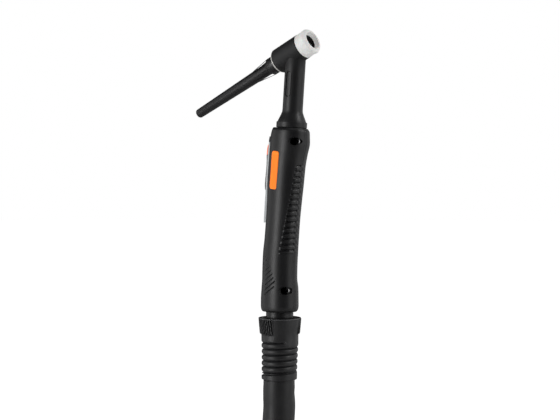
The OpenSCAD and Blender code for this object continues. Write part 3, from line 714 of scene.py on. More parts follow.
def groove_depth(z, t, ang):
    """Stepped finger grooves round the nozzle side, wider towards the foot."""
    k = (GROOVE_TOP - (z + 0.6 * clamp(ang / 60.0) ** 3)) / GROOVE_PITCH
    if not 0 <= k < GROOVES - 0.25:
        return 0.0
    reach = 23 + 36.5 * clamp((GROOVE_TOP - z) / 71.0)
    edge = (1 - smooth(reach - 3, reach + 1.5, ang)) * smooth(1.5, 7, ang)
    # the outline beyond the nose is smooth, so the far set is short and shallow
    if sin(t) > 0:
        edge *= 0.4 * (1 - smooth(14, 24, ang))
    f = k - math.floor(k)
    step = GROOVE_DEPTH * (1 - smooth(0.0, 0.7, f)) * smooth(-0.001, 0.07, f)
    return edge * (step - LAND_HEIGHT * smooth(0.3, 0.6, f))


def cut_depth(z, t):
    """Slanting cuts low on both sides, each shorter and shallower than the one below."""
    depth = 0.0
    x = grip_a(z) * squared(cos(t))
    for i in range(CUTS):
        end = 5.6 - (i - 1) * 1.35 if i else 5.0
        if -6.6 < x < end + 0.6:
            line = z - (CUT_LOW + i * CUT_PITCH + (x + 5.4) * CUT_SLOPE)
            fade = smooth(-6.4, -5.0, x) * (1 - smooth(end - 1.2, end + 0.2, x)) * (1 - 0.075 * i)
            depth += CUT_DEPTH * fade * math.exp(-(line / CUT_WIDTH) ** 2)
    return depth


def grip_detail(z, t):
    """Depth in mm taken off the grip's surface; t is the section's angle in radians, 0 at +X."""
    ang = abs(math.degrees(math.atan2(sin(t), cos(t))))
    depth = groove_depth(z, t, ang) + (cut_depth(z, t) if ang > 50 else 0)
    # parting line of the two shells
    y = grip_b(z) * abs(squared(sin(t)))
    return depth + SEAM * math.exp(-(y / SEAM) ** 2)


def grip_section(u, inset, angles, detail):
    """Ring round the grip at a share of its length."""
    z = LOW + HANDLE_L * u
    tilt, x0, half_x, half_y = section_tilt(u), grip_x(z), grip_a(z), grip_b(z)
    ring = []
    for t in angles:
        d = inset + (grip_detail(z, t) if detail else 0)
        x = half_x * squared(cos(t)) - d * cos(t)
        y = half_y * squared(sin(t)) - d * sin(t)
        ring.append((x0 + x * cos(tilt), y, z - x * sin(tilt)))
    return ring


def drawn_in(ring, share=0.93):
    """The ring made smaller, for the flat ends."""
    cx, cy = [sum(p[i] for p in ring) / len(ring) for i in range(2)]
    return [(cx + (x - cx) * share, cy + (y - cy) * share, z) for x, y, z in ring]


def grip_loft(name, inset, low, high, rows, sides, detail):
    """The grip between two shares of its length, whole and detailed, or plain for its cavity."""
    angles = [2 * pi * k / sides for k in range(sides)]
    near_ends = [0.003, 0.006, 0.011, 0.017, 0.99, 0.995, 0.998] if detail else []
    shares = sorted(set([low + (high - low) * i / rows for i in range(rows + 1)] + near_ends))
    rings = [grip_section(u, inset, angles, detail) for u in shares]
    if detail:
        rings = [drawn_in(rings[0])] + rings + [drawn_in(rings[-1])]
    return link(name, *skin(rings))


SCREWS = (TOP - 12.1, LOW + 18.4)
MODULE_LOW, MODULE_TOP = TOP - 79.8, TOP - 6.8
BUTTON_LOW, BUTTON_TOP = TOP - 51.7, TOP - 13.3
BADGE_W, BADGE_L = 7.6, 32.0


def screw_place(z):
    """Frame of a screw that enters from the near side, its axis outward."""
    return move(grip_x(z) + 12.4, 0, z) @ rot(90, "X")


def badge_frame(side):
    """Frame of a badge on the grip's side: X across, Y along, Z outward."""
    z, half, shift = TOP - 35.7, 16.05, 2.2
    lean = math.atan((grip_x(z + half) - grip_x(z - half)) / (2 * half))
    thick = math.atan((grip_b(z + half) - grip_b(z - half)) / (2 * half))
    turn = math.atan((side_y(z, shift - 1) - side_y(z, shift + 1)) / 2)
    return (move(grip_x(z) - shift, side * side_y(z, shift), z)
            @ Matrix.Rotation(side * turn, 4, "Z") @ Matrix.Rotation(-side * thick, 4, "X")
            @ Matrix.Rotation(lean, 4, "Y") @ rot(90, "X"))


def rounded_bar(w, l, r, steps=8):
    """Outline of a rectangle with rounded corners."""
    pts = []
    for cx, cy, a in ((1, 1, 0), (-1, 1, 90), (-1, -1, 180), (1, -1, 270)):
        for i in range(steps + 1):
            b = radians(a + 90 * i / steps)
            pts.append((cx * (w / 2 - r) + r * cos(b), cy * (l / 2 - r) + r * sin(b)))
    return pts


def bar(name, outline, z0, z1, matrix, rim=0.0):
    """The outline as a bar from z0 to z1, its upper edge rounded by the rim."""
    levels = [(0, z0), (0, z1)]
    if rim:
        turns = [radians(a) for a in range(0, 91, 15)]
        levels = [(0, z0)] + [(rim * (1 - cos(a)), z1 - rim * (1 - sin(a))) for a in turns]
    w = max(abs(p[0]) for p in outline)
    l = max(abs(p[1]) for p in outline)
    rings = [[(x * (w - inset) / w, y * (l - inset) / l, z) for x, y in outline] for inset, z in levels]
    return link(name, *skin(rings), matrix, 50)


def make_shells():
    for side, body_node in ((1, "handle_shell_left"), (-1, "handle_shell_right")):
        shell = grip_loft("shell", 0, 0, 1, 620, 288, True)
        boolean(shell, grip_loft("cavity", WALL, END_WALL / HANDLE_L, 1 - END_WALL / HANDLE_L, 60, 72, False))
        y0, y1 = (-40, 0.01) if side > 0 else (-0.01, 40)
        boolean(shell, block("half", -60, 60, y0, y1, -100, 100))
        boolean(shell, cylinder("stem hole", 9.9, LOW - 5, LOW + 9.2, move(STEM_X, 0, 0)))
        boolean(shell, cylinder("tail hole", 6.6, -NECK_L - 12, -NECK_L + 4, IN_NECK))
        boolean(shell, block("window", -40, grip_x(MODULE_LOW), -6.7, 6.7, MODULE_LOW - 0.2, MODULE_TOP + 0.2))
        z0, z1 = (-3, 0.5) if side > 0 else (-0.5, 3)
        boolean(shell, bar("badge cut", rounded_bar(BADGE_W + 0.3, BADGE_L + 0.3, 2.0), z0, z1, badge_frame(side)))
        if side < 0:
            for z in SCREWS:
                wide = screw_place(z) @ move(0.45, 0, 0) @ Matrix.Diagonal((1.2, 0.98, 1, 1))
                boolean(shell, turned("recess", [(3.35, 2.8), (3.35, 30)], wide, 64))
        shade(shell, 38)
        shell.name = "shell_left" if side > 0 else "shell_right"
        piece(shell, "handle", grip_black, "grip_black", body_node)


make_shells()


def crescent(name, point, steps, thick, sides, matrix):
    """Thin curved rod that tapers to both ends; point(i, out, up) places a point of step i's ring."""
    rings = []
    for i in range(steps):
        w = thick(i)
        rings.append([point(i, w * c, w * s) for c, s in circle(sides)])
    return link(name, *skin(rings), matrix, 50)


def make_screw_edges():
    """Glowing steel crescent at the edge of each screw, deep in its recess: a painted glint."""
    def point(i, out, up):
        a = radians(-58 + 116 * i / 12)
        return (1.7 + out) * cos(a), (2.0 + out) * sin(a), 4.6 + up

    for n, z in enumerate(SCREWS):
        edge = crescent("screw_edge_%d" % (n + 1), point, 13, lambda i: 0.42 * sin(pi * (i + 0.4) / 12.8),
                        12, screw_place(z))
        piece(edge, "handle", screw_glint_steel, "steel")


make_screw_edges()


def make_badges():
    for side, name, node in ((1, "bar_left", "badge_left"), (-1, "bar_right", "badge_right")):
        m = badge_frame(side)
        if side > 0:
            m = m @ rot(180, "Y")
        obj = bar(name, rounded_bar(BADGE_W, BADGE_L, 1.95), -0.5, 0.27, m, rim=0.25)
        piece(obj, "handle", badge_orange, "orange", node)


make_badges()


def prism(first, last):
    """Vertices and faces of a solid between two like outlines."""
    n = len(first)
    faces = [tuple(range(n - 1, -1, -1)), tuple(range(n, 2 * n))]
    faces += [(i, (i + 1) % n, (i + 1) % n + n, i + n) for i in range(n)]
    return first + last, faces


def side_slab(name, width, outline, edge, y=0.0):
    """Piece with a side view outline of (x, z) points, width across Y about y, its edges rounded."""
    verts, faces = prism(*[[(x, y + side * width / 2, z) for x, z in outline] for side in (-1, 1)])
    # its ends are turned over, so the bevel stands out by the edge's width
    faces[:2] = [face[::-1] for face in faces[:2]]
    return bevel(link(name, verts, faces), edge, 3)


# how far the button's face stands out of the grip's back, from its lower end up
BUTTON_FACE = [(BUTTON_LOW, 1.6), (BUTTON_LOW + 1.2, 2.2), (BUTTON_LOW + 5, 2.4), (BUTTON_LOW + 11.5, 2.2),
               (BUTTON_LOW + 18.3, 2.0), (BUTTON_LOW + 25, 2.3), (BUTTON_LOW + 29.4, 2.8)]


def make_button():
    back, seat, top = 3.4, 1.3, BUTTON_TOP
    face_at = spline_table(BUTTON_FACE, 1)
    split = BUTTON_FACE[-1][0]
    rows = [BUTTON_LOW + (split - BUTTON_LOW) * i / 32 for i in range(33)]
    outline = [(rear_x(z) - face_at(z), z) for z in rows]
    outline += [(rear_x(split + 0.05) - seat, split + 0.05), (rear_x(top) - seat, top)]
    outline += [(rear_x(z) + back, z) for z in [top - (top - BUTTON_LOW) * i / 12 for i in range(13)]]
    piece(side_slab("rocker", 10.0, outline, 0.5), "button", button_black, "button_black", "push_button")
    # coloured upper end, clear of the housing when it is pressed; its orange glows with painted light
    rows = [split + 0.1 + (top - split - 0.3) * i / 10 for i in range(11)]
    outline = [(rear_x(z) - 3.2 + 0.5 * smooth(0.7, 1.0, i / 10), z) for i, z in enumerate(rows)]
    outline += [(rear_x(top) - seat - 0.1, rows[-1]), (rear_x(rows[0]) - seat - 0.02, rows[0])]
    piece(side_slab("marker", 9.7, outline, 0.3), "button", marker_orange, "marker_orange", "button_marker")


make_button()


def make_housing_top():
    low, high = BUTTON_TOP + 0.35, MODULE_TOP + 0.08
    rows = [low + (high - low) * i / 6 for i in range(7)]
    outline = [(rear_x(z) - 0.35 + 0.3 * smooth(0.6, 1, i / 6), z) for i, z in enumerate(rows)]
    outline += [(rear_x(high) + 2.5, high), (rear_x(low) + 2.5, low)]
    piece(side_slab("housing_top", 13.2, outline, 0.3), "handle", button_black, "button_black")


make_housing_top()


def make_bezel():
    """Grey strip on each side of the button and its pad, brightened by a painted glow."""
    low, high = -1.9, 66.3
    out = spline_table([(low, 0.45), (16.0, 0.7), (24.0, 0.3), (40.0, 0.25), (58.0, 0.5), (high, 0.45)], 1)
    rows = [low + (high - low) * i / 40 for i in range(41)]
    outline = [(rear_x(z) - out(z), z) for z in rows] + [(rear_x(z) + 0.6, z) for z in reversed(rows)]
    for name, y in (("bezel_right", -6.05), ("bezel_left", 6.05)):
        piece(side_slab(name, 1.2, outline, 0.25, y), "handle", bezel_grey, "switch_grey")


make_bezel()


# ---------- head
PANEL_W, PANEL_L, PANEL_Z, PANEL_TURN = 5.0, 21.0, -28.7, -3
CAP_FINS = 8


def panel_bar(name, grow, depth, m):
    """Slot shape of the neck's panel, grown all round."""
    w = PANEL_W + grow
    return bar(name, rounded_bar(w, PANEL_L + grow, w / 2 - 0.001, 10), -depth, depth, m)


def make_head_cover():
    e = 1.7
    barrel = turned("barrel", [(0.001, -BARREL_BACK)] + arc(BARREL_R - e, -BARREL_BACK + e, e, -90, 0, 10)
                    + [(BARREL_R, -12), (BARREL_R, -4)] + arc(BARREL_R - 0.3, BARREL_FRONT - 0.3, 0.3, 0, 90, 4)
                    + [(0.001, BARREL_FRONT)], IN_BARREL, 128)
    seat = -NECK_L
    prof = [(0.001, seat - 10), (6.5, seat - 10), (6.5, seat), (FLANGE_R - 0.4, seat)]
    prof += arc(FLANGE_R - 0.4, seat + 0.4, 0.4, -90, 0, 4)
    prof += arc(FLANGE_R - 0.8, seat + FLANGE_H - 0.3, 0.8, 0, 50, 5)
    cone = []
    for i in range(15):
        s = i / 14
        r = NECK_R + (FLANGE_R - 0.4 - NECK_R) * (1 - smooth(-0.3, 1.12, s))
        cone.append((min(r, FLANGE_R - 0.5), seat + FLANGE_H + 0.35 + (CONE_H + 0.9) * s))
    prof += [c for c in cone if c[0] < prof[-1][0]]
    prof += [(NECK_R, seat + 16), (NECK_R, -30), (NECK_R, -5), (0.001, -5)]
    neck = turned("neck", prof, IN_NECK, 128)
    # bare panel sunk into each side of the neck, with a deeper groove round it
    for side in (-1, 1):
        m = IN_NECK @ rot(side * PANEL_TURN, "Z") @ move(0, side * NECK_R, PANEL_Z) @ rot(90, "X")
        cut = panel_bar("panel", 0, 2, m)
        boolean(cut, cylinder("floor", NECK_R - 0.5, -45, -10, IN_NECK, 128))
        boolean(neck, cut)
        rim = panel_bar("rim", 0.6, 2, m)
        boolean(rim, panel_bar("land", -0.7, 3, m))
        boolean(rim, cylinder("floor", NECK_R - 1.3, -45, -10, IN_NECK, 128))
        boolean(neck, rim)
    boolean(barrel, neck, "UNION")
    boolean(barrel, cylinder("core", 7.0, -BARREL_BACK - 1, BARREL_FRONT + 1, IN_BARREL))
    boolean(barrel, cylinder("spigot", 8.5, BARREL_FRONT - 4.7, BARREL_FRONT + 1, IN_BARREL, 96))
    boolean(barrel, cylinder("tube", 5.1, -NECK_L - 11, 0, IN_NECK))
    barrel.name = "head_moulding"
    shade(barrel, 30)
    piece(barrel, "handle", head_black, "head_black", "head_cover")


make_head_cover()


def make_insulator():
    back, front, rim = BARREL_FRONT - 4.6, BARREL_FRONT + INS_L, 3.1
    prof = [(INS_BORE, back), (8.4, back), (8.4, BARREL_FRONT + 0.02)]
    prof += arc(INS_R - 0.5, BARREL_FRONT + 0.22, 0.2, -90, 0, 3)
    # slightly waisted
    prof += [(INS_R - dr, BARREL_FRONT + dz) for dr, dz in
             ((0.25, 1.0), (0.3, 2.6), (0.42, 4.0), (0.5, 5.0), (0.42, 5.8), (0.2, 6.7), (0.04, 7.4))]
    prof += arc(INS_R - rim, front - rim, rim, 0, 80, 14)
    prof += arc(INS_R - rim + 0.1, front - 0.3, 0.25, 80, 190, 5)
    prof += [(INS_BORE + 0.12, front - 3.5)] + arc(INS_BORE + 0.5, front - 4.0, 0.5, 150, 180, 3)
    prof.append((INS_BORE, front - 6))
    obj = turned("insulator", prof, IN_BARREL, 128, wrap=True)
    piece(obj, "handle", insulator_white, "white_plastic", "front_insulator")
    # dark threaded lining seen down the bore
    z = BARREL_FRONT - 0.3
    prof = [(4.7, z)]
    while z < front - 4.6:
        prof += [(5.9, z), (6.28, z + 0.45)]
        z += 0.9
    prof += [(6.3, front - 3.7), (6.36, front - 3.7), (6.36, BARREL_FRONT - 0.39), (4.7, BARREL_FRONT - 0.39)]
    piece(turned("thread_lining", prof, IN_BARREL, 96, wrap=True), "handle", inner_black, "inner_black")


make_insulator()


def make_strut(name, a, root):
    """Thin fin at the angle a, from the collar to the body 18 mm behind its root."""
    start, end = root + 1.4, root - 18
    outline = [(COLLAR_R - 0.4, start), (COLLAR_R + 0.05, start), (5.35, end), (4.9, end), (4.9, end + 2),
               (COLLAR_R - 0.4, start - 1.0)]
    c, s = cos(a), sin(a)
    sides = [[(r * c - w * s, r * s + w * c, z) for r, z in outline] for w in (-0.28, 0.28)]
    piece(link(name, *prism(*sides), IN_BARREL), "back_cap", cap_black, "cap_black")


def make_cap():
    face = -BARREL_BACK - 1.1
    root = face - COLLAR_L
    tip = -BARREL_BACK - CAP_L
    prof = [(TIP_R - 1.6, tip)] + arc(TIP_R - 1.5, tip + 1.5, 1.5, -90, -8, 7)
    # tapering body, in close rows that keep its shading even
    for i in range(1, 47):
        z = tip + 1.6 + (root - 0.9 - tip - 1.6) * i / 46
        prof.append((ROOT_R + (TIP_R - ROOT_R) * (root - z) / (root - tip), z))
    prof += [(ROOT_R + 0.25, root - 0.3), (ROOT_R + 0.5, root), (COLLAR_R - 1.1, root)]
    prof += arc(COLLAR_R - 0.9, root + 1.6, 0.9, -60, 0, 4) + arc(COLLAR_R - 0.35, face - 0.35, 0.35, 0, 90, 4)
    prof += [(4.75, face), (4.75, -10.3), (4.3, -9.9), (1.75, -9.9), (1.75, tip + 8)]
    cap = turned("cap", prof, IN_BARREL, 160)
    for k in range(CAP_FINS):
        make_strut("cap_strut_%d" % (k + 1), 2 * pi * (k + 0.5) / CAP_FINS, root)
    piece(cap, "back_cap", cap_black, "cap_black", "back_cap")


make_cap()


def make_seal():
    back, front = -BARREL_BACK - 0.95, -BARREL_BACK - 0.1
    prof = [(5.1, back), (9.5, back)] + arc(9.45, back + 0.3, 0.3, -90, 0, 4) + [(9.75, front), (5.1, front)]
    seal = turned("seal", prof, IN_BARREL, 96, wrap=True)
    piece(seal, "cap_seal", seal_white, "seal_white", "cap_seal")


make_seal()


# ---------- ball joint and relief
def make_stem():
    ball_r, low = 11.5, 18.9
    prof = [(5, -10.3)]
    prof += [(ball_r * sin(radians(a)), -ball_r * cos(radians(a))) for a in range(28, 146, 3)]
    prof += [(6.5, 9.55), (6.5, 12.6), (7.2, 13.0), (11.2, 13.0)] + arc(11.25, 13.4, 0.4, -90, 0, 4)
    # shallow groove under the grip, then the spigot held in it
    prof += [(11.65, 17.8), (11.45, 18.1), (11.45, 18.4), (11.65, low), (9.8, low), (9.8, low + 3.3)]
    prof += [(11.35, low + 3.3), (11.35, low + 7.2), (5, low + 7.2)]
    piece(turned("ball", prof, IN_BALL, 128, wrap=True), "handle", stem_black, "stem_black", "ball_stem")


make_stem()

RELIEF_LOW, RELIEF_R, CUP_H = -39.0, 15.65, 13.0
# spiral groove: where it starts and ends round the relief in degrees, its first height and its pitch
SPIRAL_START, SPIRAL_END, SPIRAL_H, SPIRAL_PITCH, SPIRAL_DEPTH = 53.0, 1925.0, -6.9, 5.0, 2.1
# smooth windows between the cup's knurled wings
WINDOW_AZ, WINDOW_HALF = 63.0, 43.0


def cup_radius(h, az):
    """Radius of the relief without its groove: a cup with two knurled wings over a round body."""
    off = min(abs((az - WINDOW_AZ - k + 540) % 360 - 180) for k in (0, 180))
    wing = smooth(WINDOW_HALF - 1.5, WINDOW_HALF + 1.0, off)
    window = RELIEF_R + (17.75 - RELIEF_R) * smooth(-4.5, 15.5, h)
    knurled = 17.1 + (18.2 - 17.1) * clamp((h - 0.4) / 12.9)
    if off > WINDOW_HALF:
        a = (off - WINDOW_HALF - 3.4 - (h - 6) * 0.3) % 6.6
        knurled -= 1.5 * math.exp(-((min(a, 6.6 - a)) / 1.45) ** 4) * smooth(-0.4, 0.8, h) * (1 - smooth(12.4, 12.9, h))
    step = smooth(-0.9, 0.5, h)
    r = window * (1 - wing) + knurled * wing * step + RELIEF_R * wing * (1 - step)
    return max(r, RELIEF_R) if h > -4 else r


def spiral_depth(h, az):
    """Depth of the spiral groove, rounded at both ends."""
    depth = 0.0
    for n in range(-1, 7):
        d = (SPIRAL_START - az) % 360 + 360 * n
        c = clamp(d, 0, SPIRAL_END)
        along = radians(d - c) * 14.6
        across = h - (SPIRAL_H - SPIRAL_PITCH * c / 360)
        near = 1 - min(1, math.hypot(along, across) / 2.3)
        depth = max(depth, SPIRAL_DEPTH * (1 - math.sqrt(1 - near ** 2)))
        # the last turn widens towards its end
        if 1680 < d < 1960:
            tail = across + 1.9 * clamp((d - 1723) / 180)
            fade = smooth(1690, 1760, d) * (1 - smooth(1925, 1960, d))
            depth = max(depth, 1.7 * (1 - smooth(0.2, 1.1, abs(tail))) * fade)
    return depth


def relief_radius(h, az):
    """Outer radius in mm at height h over the ball's centre; az in degrees, 0 at -Y and 90 at +X."""
    taper = 0.35 * clamp((-h - 8) / 8) + 0.3 * smooth(-14, -38, h)
    return cup_radius(h, az) - taper - spiral_depth(h, az)


def make_relief():
    sides, rows, row_step, first_row, socket_r = 300, 207, 0.25, -38.6, 13.4
    spots = [(sin(2 * pi * k / sides), -cos(2 * pi * k / sides)) for k in range(sides)]

    def ring(r, h):
        return [(r * x, r * y, h) for x, y in spots]

    # a short spigot into the sheath closes the gap below the relief
    rings = [ring(9.2, -40.2), ring(12.7, -40.2)] + [ring(r, RELIEF_LOW) for r in (12.7, 13.6, 14.1)]
    for i in range(rows):
        h = first_row + i * row_step
        rounding = 0.8 * (1 - math.sqrt(1 - (1 - clamp((h - RELIEF_LOW) / 0.9)) ** 2)) if h < -38.1 else 0
        rounding += 0.3 * smooth(12.5, 13.1, h)
        # the ribs lean with the sheath
        lean = 0.033 * smooth(-3, -9, h) * (1 - smooth(-37, -39, h))
        row = []
        for k, (ux, uy) in enumerate(spots):
            r = relief_radius(h, 360 * k / sides) - rounding + 0.15
            row.append((r * ux + 0.25 - SAG * smooth(-8, -39, h), r * uy, h - lean * r * (0.766 * ux + 0.643 * uy)))
        rings.append(row)
    # down the inside: the funnel over the ball, then its socket
    rings += [ring(r, h) for r, h in ((17.45, 13.3), (17.15, 13.3), (16.9, 13.1), (15.9, 11), (14.9, 8.75),
                                      (14.6, 8.6), (10.6, 8.6), (10.3, 8.4))]
    for a in range(40, 130, 6):
        r, h = socket_r * sin(radians(a)), socket_r * cos(radians(a))
        if h < 8.3 and r > 9.1:
            rings.append(ring(r, h))
    rings.append(ring(9.2, -9.8))
    piece(link("relief", *skin(rings, wrap=True), IN_BALL, 40), "cable", relief_black, "relief_rubber", "bend_relief")


def make_cup_edge():
    """Rounded edge of the cup, lighter than the rubber and glowing: a painted highlight."""
    prof = [(17.85 + 0.32 * c, CUP_H + 0.1 + 0.32 * s) for c, s in circle(8)]
    piece(turned("cup_edge", prof, IN_BALL, 160, wrap=True), "cable", highlight_edge_black, "relief_rubber")


def make_groove_lip():
    """Lighter, glowing lip where the spiral groove begins: a painted highlight."""
    def point(i, out, up):
        a = radians(-75 + 150 * i / 10)
        az = radians(SPIRAL_START) + (1.75 * cos(a) + 0.1) / RELIEF_R
        h = SPIRAL_H + 1.6 * sin(a)
        r = relief_radius(h, SPIRAL_START + 14) + 0.05 + out
        return r * sin(az) + 0.25, -r * cos(az), h + up

    lip = crescent("groove_lip", point, 11, lambda i: 0.34 * sin(pi * (i + 0.6) / 11.2), 10, IN_BALL)
    piece(lip, "cable", highlight_edge_black, "relief_rubber")


make_relief()
make_cup_edge()
make_groove_lip()


# ---------- coil ties
TIE_W, TIE_T, TIE_GAP, TIE_BEND = 20.0, 1.2, 0.4, 6.0


def tie_path(share):
    """Corner arcs round the coil's section, each point with its outward direction."""
    r_tube = CABLE_D / 2
    bend, slope = (TIE_W / 2) ** 2 / (2 * (COIL_R - r_tube)), PITCH * TIE_W / 2 / (2 * pi * COIL_R)
    turn = min(share, 1 - share)
    x0 = COIL_R + PITCH * turn - r_tube - bend - slope - TIE_GAP / 2 + TIE_BEND
    x1 = COIL_R + PITCH * (LAYER_TURNS - turn) + r_tube + slope - TIE_BEND
    z0, z1 = COIL_BED - TIE_GAP + TIE_BEND, COIL_BED + CABLE_D + LAYER + TIE_GAP - TIE_BEND
    path = []
    for x, z, a in ((x1, z1, 0), (x0, z1, 90), (x0, z0, 180), (x1, z0, 270)):
        for i in range(9):
            b = radians(a + 90 * i / 8)
            path.append((x, z, cos(b), sin(b)))
    return path


def make_ties():
    half = TIE_W / 2
    section = [(0, 0.3 - half), (0, half - 0.3), (0.3, half), (TIE_T - 0.3, half), (TIE_T, half - 0.5), (TIE_T, 0),
               (TIE_T, 0.5 - half), (TIE_T - 0.3, -half), (0.3, -half)]
    for n, share in enumerate((0.3, 0.5, 0.7)):
        rings = [[(x + ux * (TIE_BEND + d), y, z + uz * (TIE_BEND + d)) for d, y in section]
                 for x, z, ux, uz in tie_path(share)]
        m = move(STEM_X + COIL_X, COIL_Y, 0) @ Matrix.Rotation(2 * pi * share, 4, "Z")
        tie = link("tie_%d" % (n + 1), *skin(rings, wrap=True), m, 30)
        piece(tie, "cable", webbing_mat, "tie_black")
        if n == 0:
            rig.replaces(tie, "coil_ties")
        yield tie


ties = list(make_ties())


# ---------- machine end
def make_boot():
    r = CABLE_D / 2 - 0.4
    prof = [(0.001, 0), (r - 0.5, 0)] + arc(r - 0.5, 0.5, 0.5, -90, 0, 4) + [(r, 8.4)]
    prof += [(r + (11.5 - r) * smooth(0, 1, i / 8), 9 + i) for i in range(9)]
    for z in (20, 25, 30, 35):
        prof += [(11.5, z), (10.7, z + 0.5), (10.7, z + 1.7), (11.5, z + 2.2)]
    prof += [(11.5, BOOT_L - 1.2)] + arc(10.3, BOOT_L - 1.2, 1.2, 0, 90, 5) + [(0.001, BOOT_L)]
    boot = turned("boot", prof, IN_END, 96)
    tail = IN_END @ move(TAIL_X, 0, 0)
    boolean(boot, cylinder("tail", 5.1, BOOT_L - 12, BOOT_L + 1, tail))
    boolean(boot, cylinder("wire", LEAD_R + 0.1, -10, 1, IN_BOOT_END))
    shade(boot, 35)
    return piece(boot, "cable", relief_black, "relief_rubber", "end_boot")


def make_plug():
    prof = [(0.001, 0), (3.2, 0)] + arc(3.9, 0.6, 0.6, -90, 0, 3) + [(5.2, 4), (6.0, 5.4), (7.4, 7.2)]
    prof += arc(7.4, 8.4, 0.6, -40, 0, 3) + [(8.0, 13.4), (7.8, 14.0), (6.4, 14.0), (6.4, 25.6), (6.2, 26)]
    prof += [(5.4, 26), (5.2, 25.8), (5.2, 20.2), (0.001, 20.2)]
    return piece(turned("plug", prof, IN_PLUG, 80), "cable", inner_black, "inner_black", "control_plug")


def make_plug_ring():
    spots = circle(4 * 36)

    def ring(r, z, knurl=0.0):
        radii = [r + (knurl if k % 4 in (0, 1) else -knurl) for k in range(len(spots))]
        return [(radius * c, radius * s, z) for radius, (c, s) in zip(radii, spots)]

    rings = [ring(6.5, 14.25), ring(8.2, 14.2), ring(8.6, 14.5), ring(8.75, 15.2, 0.22), ring(8.75, 24.6, 0.22)]
    rings += [ring(r, z) for r, z in ((8.6, 25.4), (8.75, 26.0), (8.75, 27.6), (8.5, 28.0), (7.0, 28.0), (6.8, 27.5),
                                      (6.5, 27.2))]
    knurled = link("knurled_ring", *skin(rings, wrap=True), IN_PLUG, 30)
    return piece(knurled, "plug_ring", steel_mat, "steel", "plug_ring")


boot, plug, plug_ring = make_boot(), make_plug(), make_plug_ring()


def in_metres(path):
    return [tuple(c * MM for c in p) for p in path]


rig.cord(cable, exit=in_metres(cable_path)[0], length=round(run_length(cable_path) * MM, 3), diameter=0.027,
        far_end="connector", stiffness="medium", lay="coiled", path=in_metres(cable_path[::2] + cable_path[-1:]),
        with_pieces=ties + [boot, nodes["gas_connector"], nodes["connector_nut"]])
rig.cord(lead, exit=in_metres(lead_path)[0], length=round(run_length(lead_path) * MM, 3), diameter=0.006,
        far_end="plug", stiffness="medium", lay="loose", path=in_metres(lead_path),
        with_pieces=[plug, plug_ring, nodes["plug_pins"]])


# ---------- CAD nodes that stay
KEPT = {
    dark_brass_mat: ["torch_head"],
    brass_mat: ["hose_ferrule", "gas_connector", "connector_nut", "plug_pins"],
    steel_mat: ["button_spring"],
    black_steel_mat: ["handle_screws"],
    # the switch housing takes the grey with its painted glow
    bezel_grey: ["switch_housing"],
    button_black: ["blanking_plate"],
    inner_black: ["microswitch", "neck_retainer", "power_hose", "control_wires"],
    board_green: ["switch_board"],
    # the seat rings take the white with its painted glow
    seal_white: ["seat_ring_upper", "seat_ring_lower"],
}
ROUNDED = {"switch_housing": 0.35, "blanking_plate": 0.3, "connector_nut": 0.4, "gas_connector": 0.3,
           "handle_screws": 0.2}


def dress_cad_nodes():
    for mat, names in KEPT.items():
        for name in names:
            for slot in nodes[name].material_slots:
                slot.material = mat
            if not nodes[name].material_slots:
                nodes[name].data.materials.append(mat)
    for name, width in ROUNDED.items():
        bevel(nodes[name], width)


dress_cad_nodes()


# ---------- floor, world and lamps
def camera_white(tree, white, shader):
    """Camera and transmission rays see white; the object is lit by the shader."""
    path = tree.nodes.new("ShaderNodeLightPath")
    top = tree.nodes.new("ShaderNodeMath")
    top.operation = "MAXIMUM"
    tree.links.new(path.outputs["Is Camera Ray"], top.inputs[0])
    tree.links.new(path.outputs["Is Transmission Ray"], top.inputs[1])
    mix = tree.nodes.new("ShaderNodeMixShader")
    tree.links.new(top.outputs[0], mix.inputs[0])
    tree.links.new(shader, mix.inputs[1])
    tree.links.new(white, mix.inputs[2])
    return mix.outputs[0]


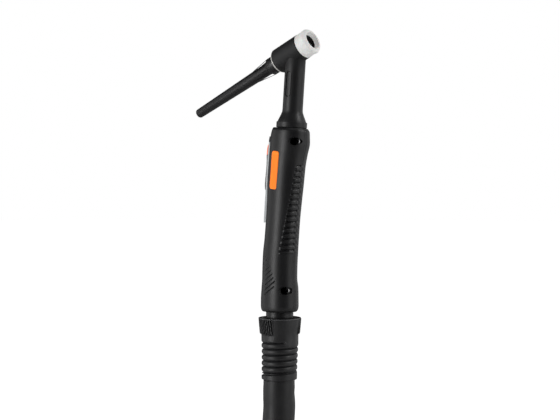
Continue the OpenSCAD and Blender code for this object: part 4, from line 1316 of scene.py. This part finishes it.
def make_floor():
    size, z = 40.0, (COIL_BED - 1.6) * MM
    mesh = bpy.data.meshes.new("floor")
    mesh.from_pydata([(-size, -size, z), (size, -size, z), (size, size, z), (-size, size, z)], [], [(0, 1, 2, 3)])
    floor = bpy.data.objects.new("floor", mesh)
    scene.collection.objects.link(floor)
    m = bpy.data.materials.new("floor")
    m.use_nodes = True
    t = m.node_tree
    b = t.nodes["Principled BSDF"]
    b.inputs["Base Color"].default_value = (0.8, 0.8, 0.8, 1)
    b.inputs["Roughness"].default_value = 0.8
    glow = t.nodes.new("ShaderNodeEmission")
    glow.inputs["Strength"].default_value = 1.0
    add = t.nodes.new("ShaderNodeAddShader")
    t.links.new(b.outputs[0], add.inputs[0])
    t.links.new(glow.outputs[0], add.inputs[1])
    out = camera_white(t, add.outputs[0], b.outputs[0])
    t.links.new(out, t.nodes["Material Output"].inputs[0])
    mesh.materials.append(m)
    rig.stage(floor)


def make_world():
    world = bpy.data.worlds.new("studio")
    scene.world = world
    world.use_nodes = True
    t = world.node_tree
    dim = t.nodes["Background"]
    dim.inputs[0].default_value = (1, 1, 1, 1)
    dim.inputs[1].default_value = 0.025
    white = t.nodes.new("ShaderNodeBackground")
    white.inputs[0].default_value = (1, 1, 1, 1)
    white.inputs[1].default_value = 1.0
    t.links.new(camera_white(t, white.outputs[0], dim.outputs[0]), t.nodes["World Output"].inputs[0])


def lamp(name, azimuth, elevation, distance, size_x, size_y, power):
    """Area lamp that faces the grip; azimuth 0 is at -Y and 90 at +X."""
    a, e = radians(azimuth), radians(elevation)
    at = Vector((sin(a) * cos(e), -cos(a) * cos(e), sin(e)))
    light = bpy.data.lights.new(name, "AREA")
    light.shape, light.size, light.size_y, light.energy = "RECTANGLE", size_x, size_y, power
    obj = bpy.data.objects.new(name, light)
    scene.collection.objects.link(obj)
    obj.location = at * distance
    obj.rotation_mode = "QUATERNION"
    obj.rotation_quaternion = (-at).to_track_quat("-Z", "Y")


make_floor()
make_world()
# name, azimuth, elevation, distance in m, width, height, power in W
lamp("key", -20, 4, 1.6, 0.5, 1.5, 14)
lamp("left", -75, 2, 1.6, 1.3, 1.5, 4.5)
lamp("right", 106, 2, 1.6, 1.3, 1.5, 6.5)
lamp("kick", 116, 42, 1.6, 0.5, 0.4, 6.5)
lamp("behind", 165, 6, 1.6, 1.5, 1.5, 5)
lamp("top", 40, 80, 1.8, 1.2, 1.2, 2)

scene.view_settings.view_transform = "Standard"

low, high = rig.bounds()
with open("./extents.json", "w") as f:
    json.dump({"cad": [list(cad_low), list(cad_high)], "visual": [list(low), list(high)]}, f)
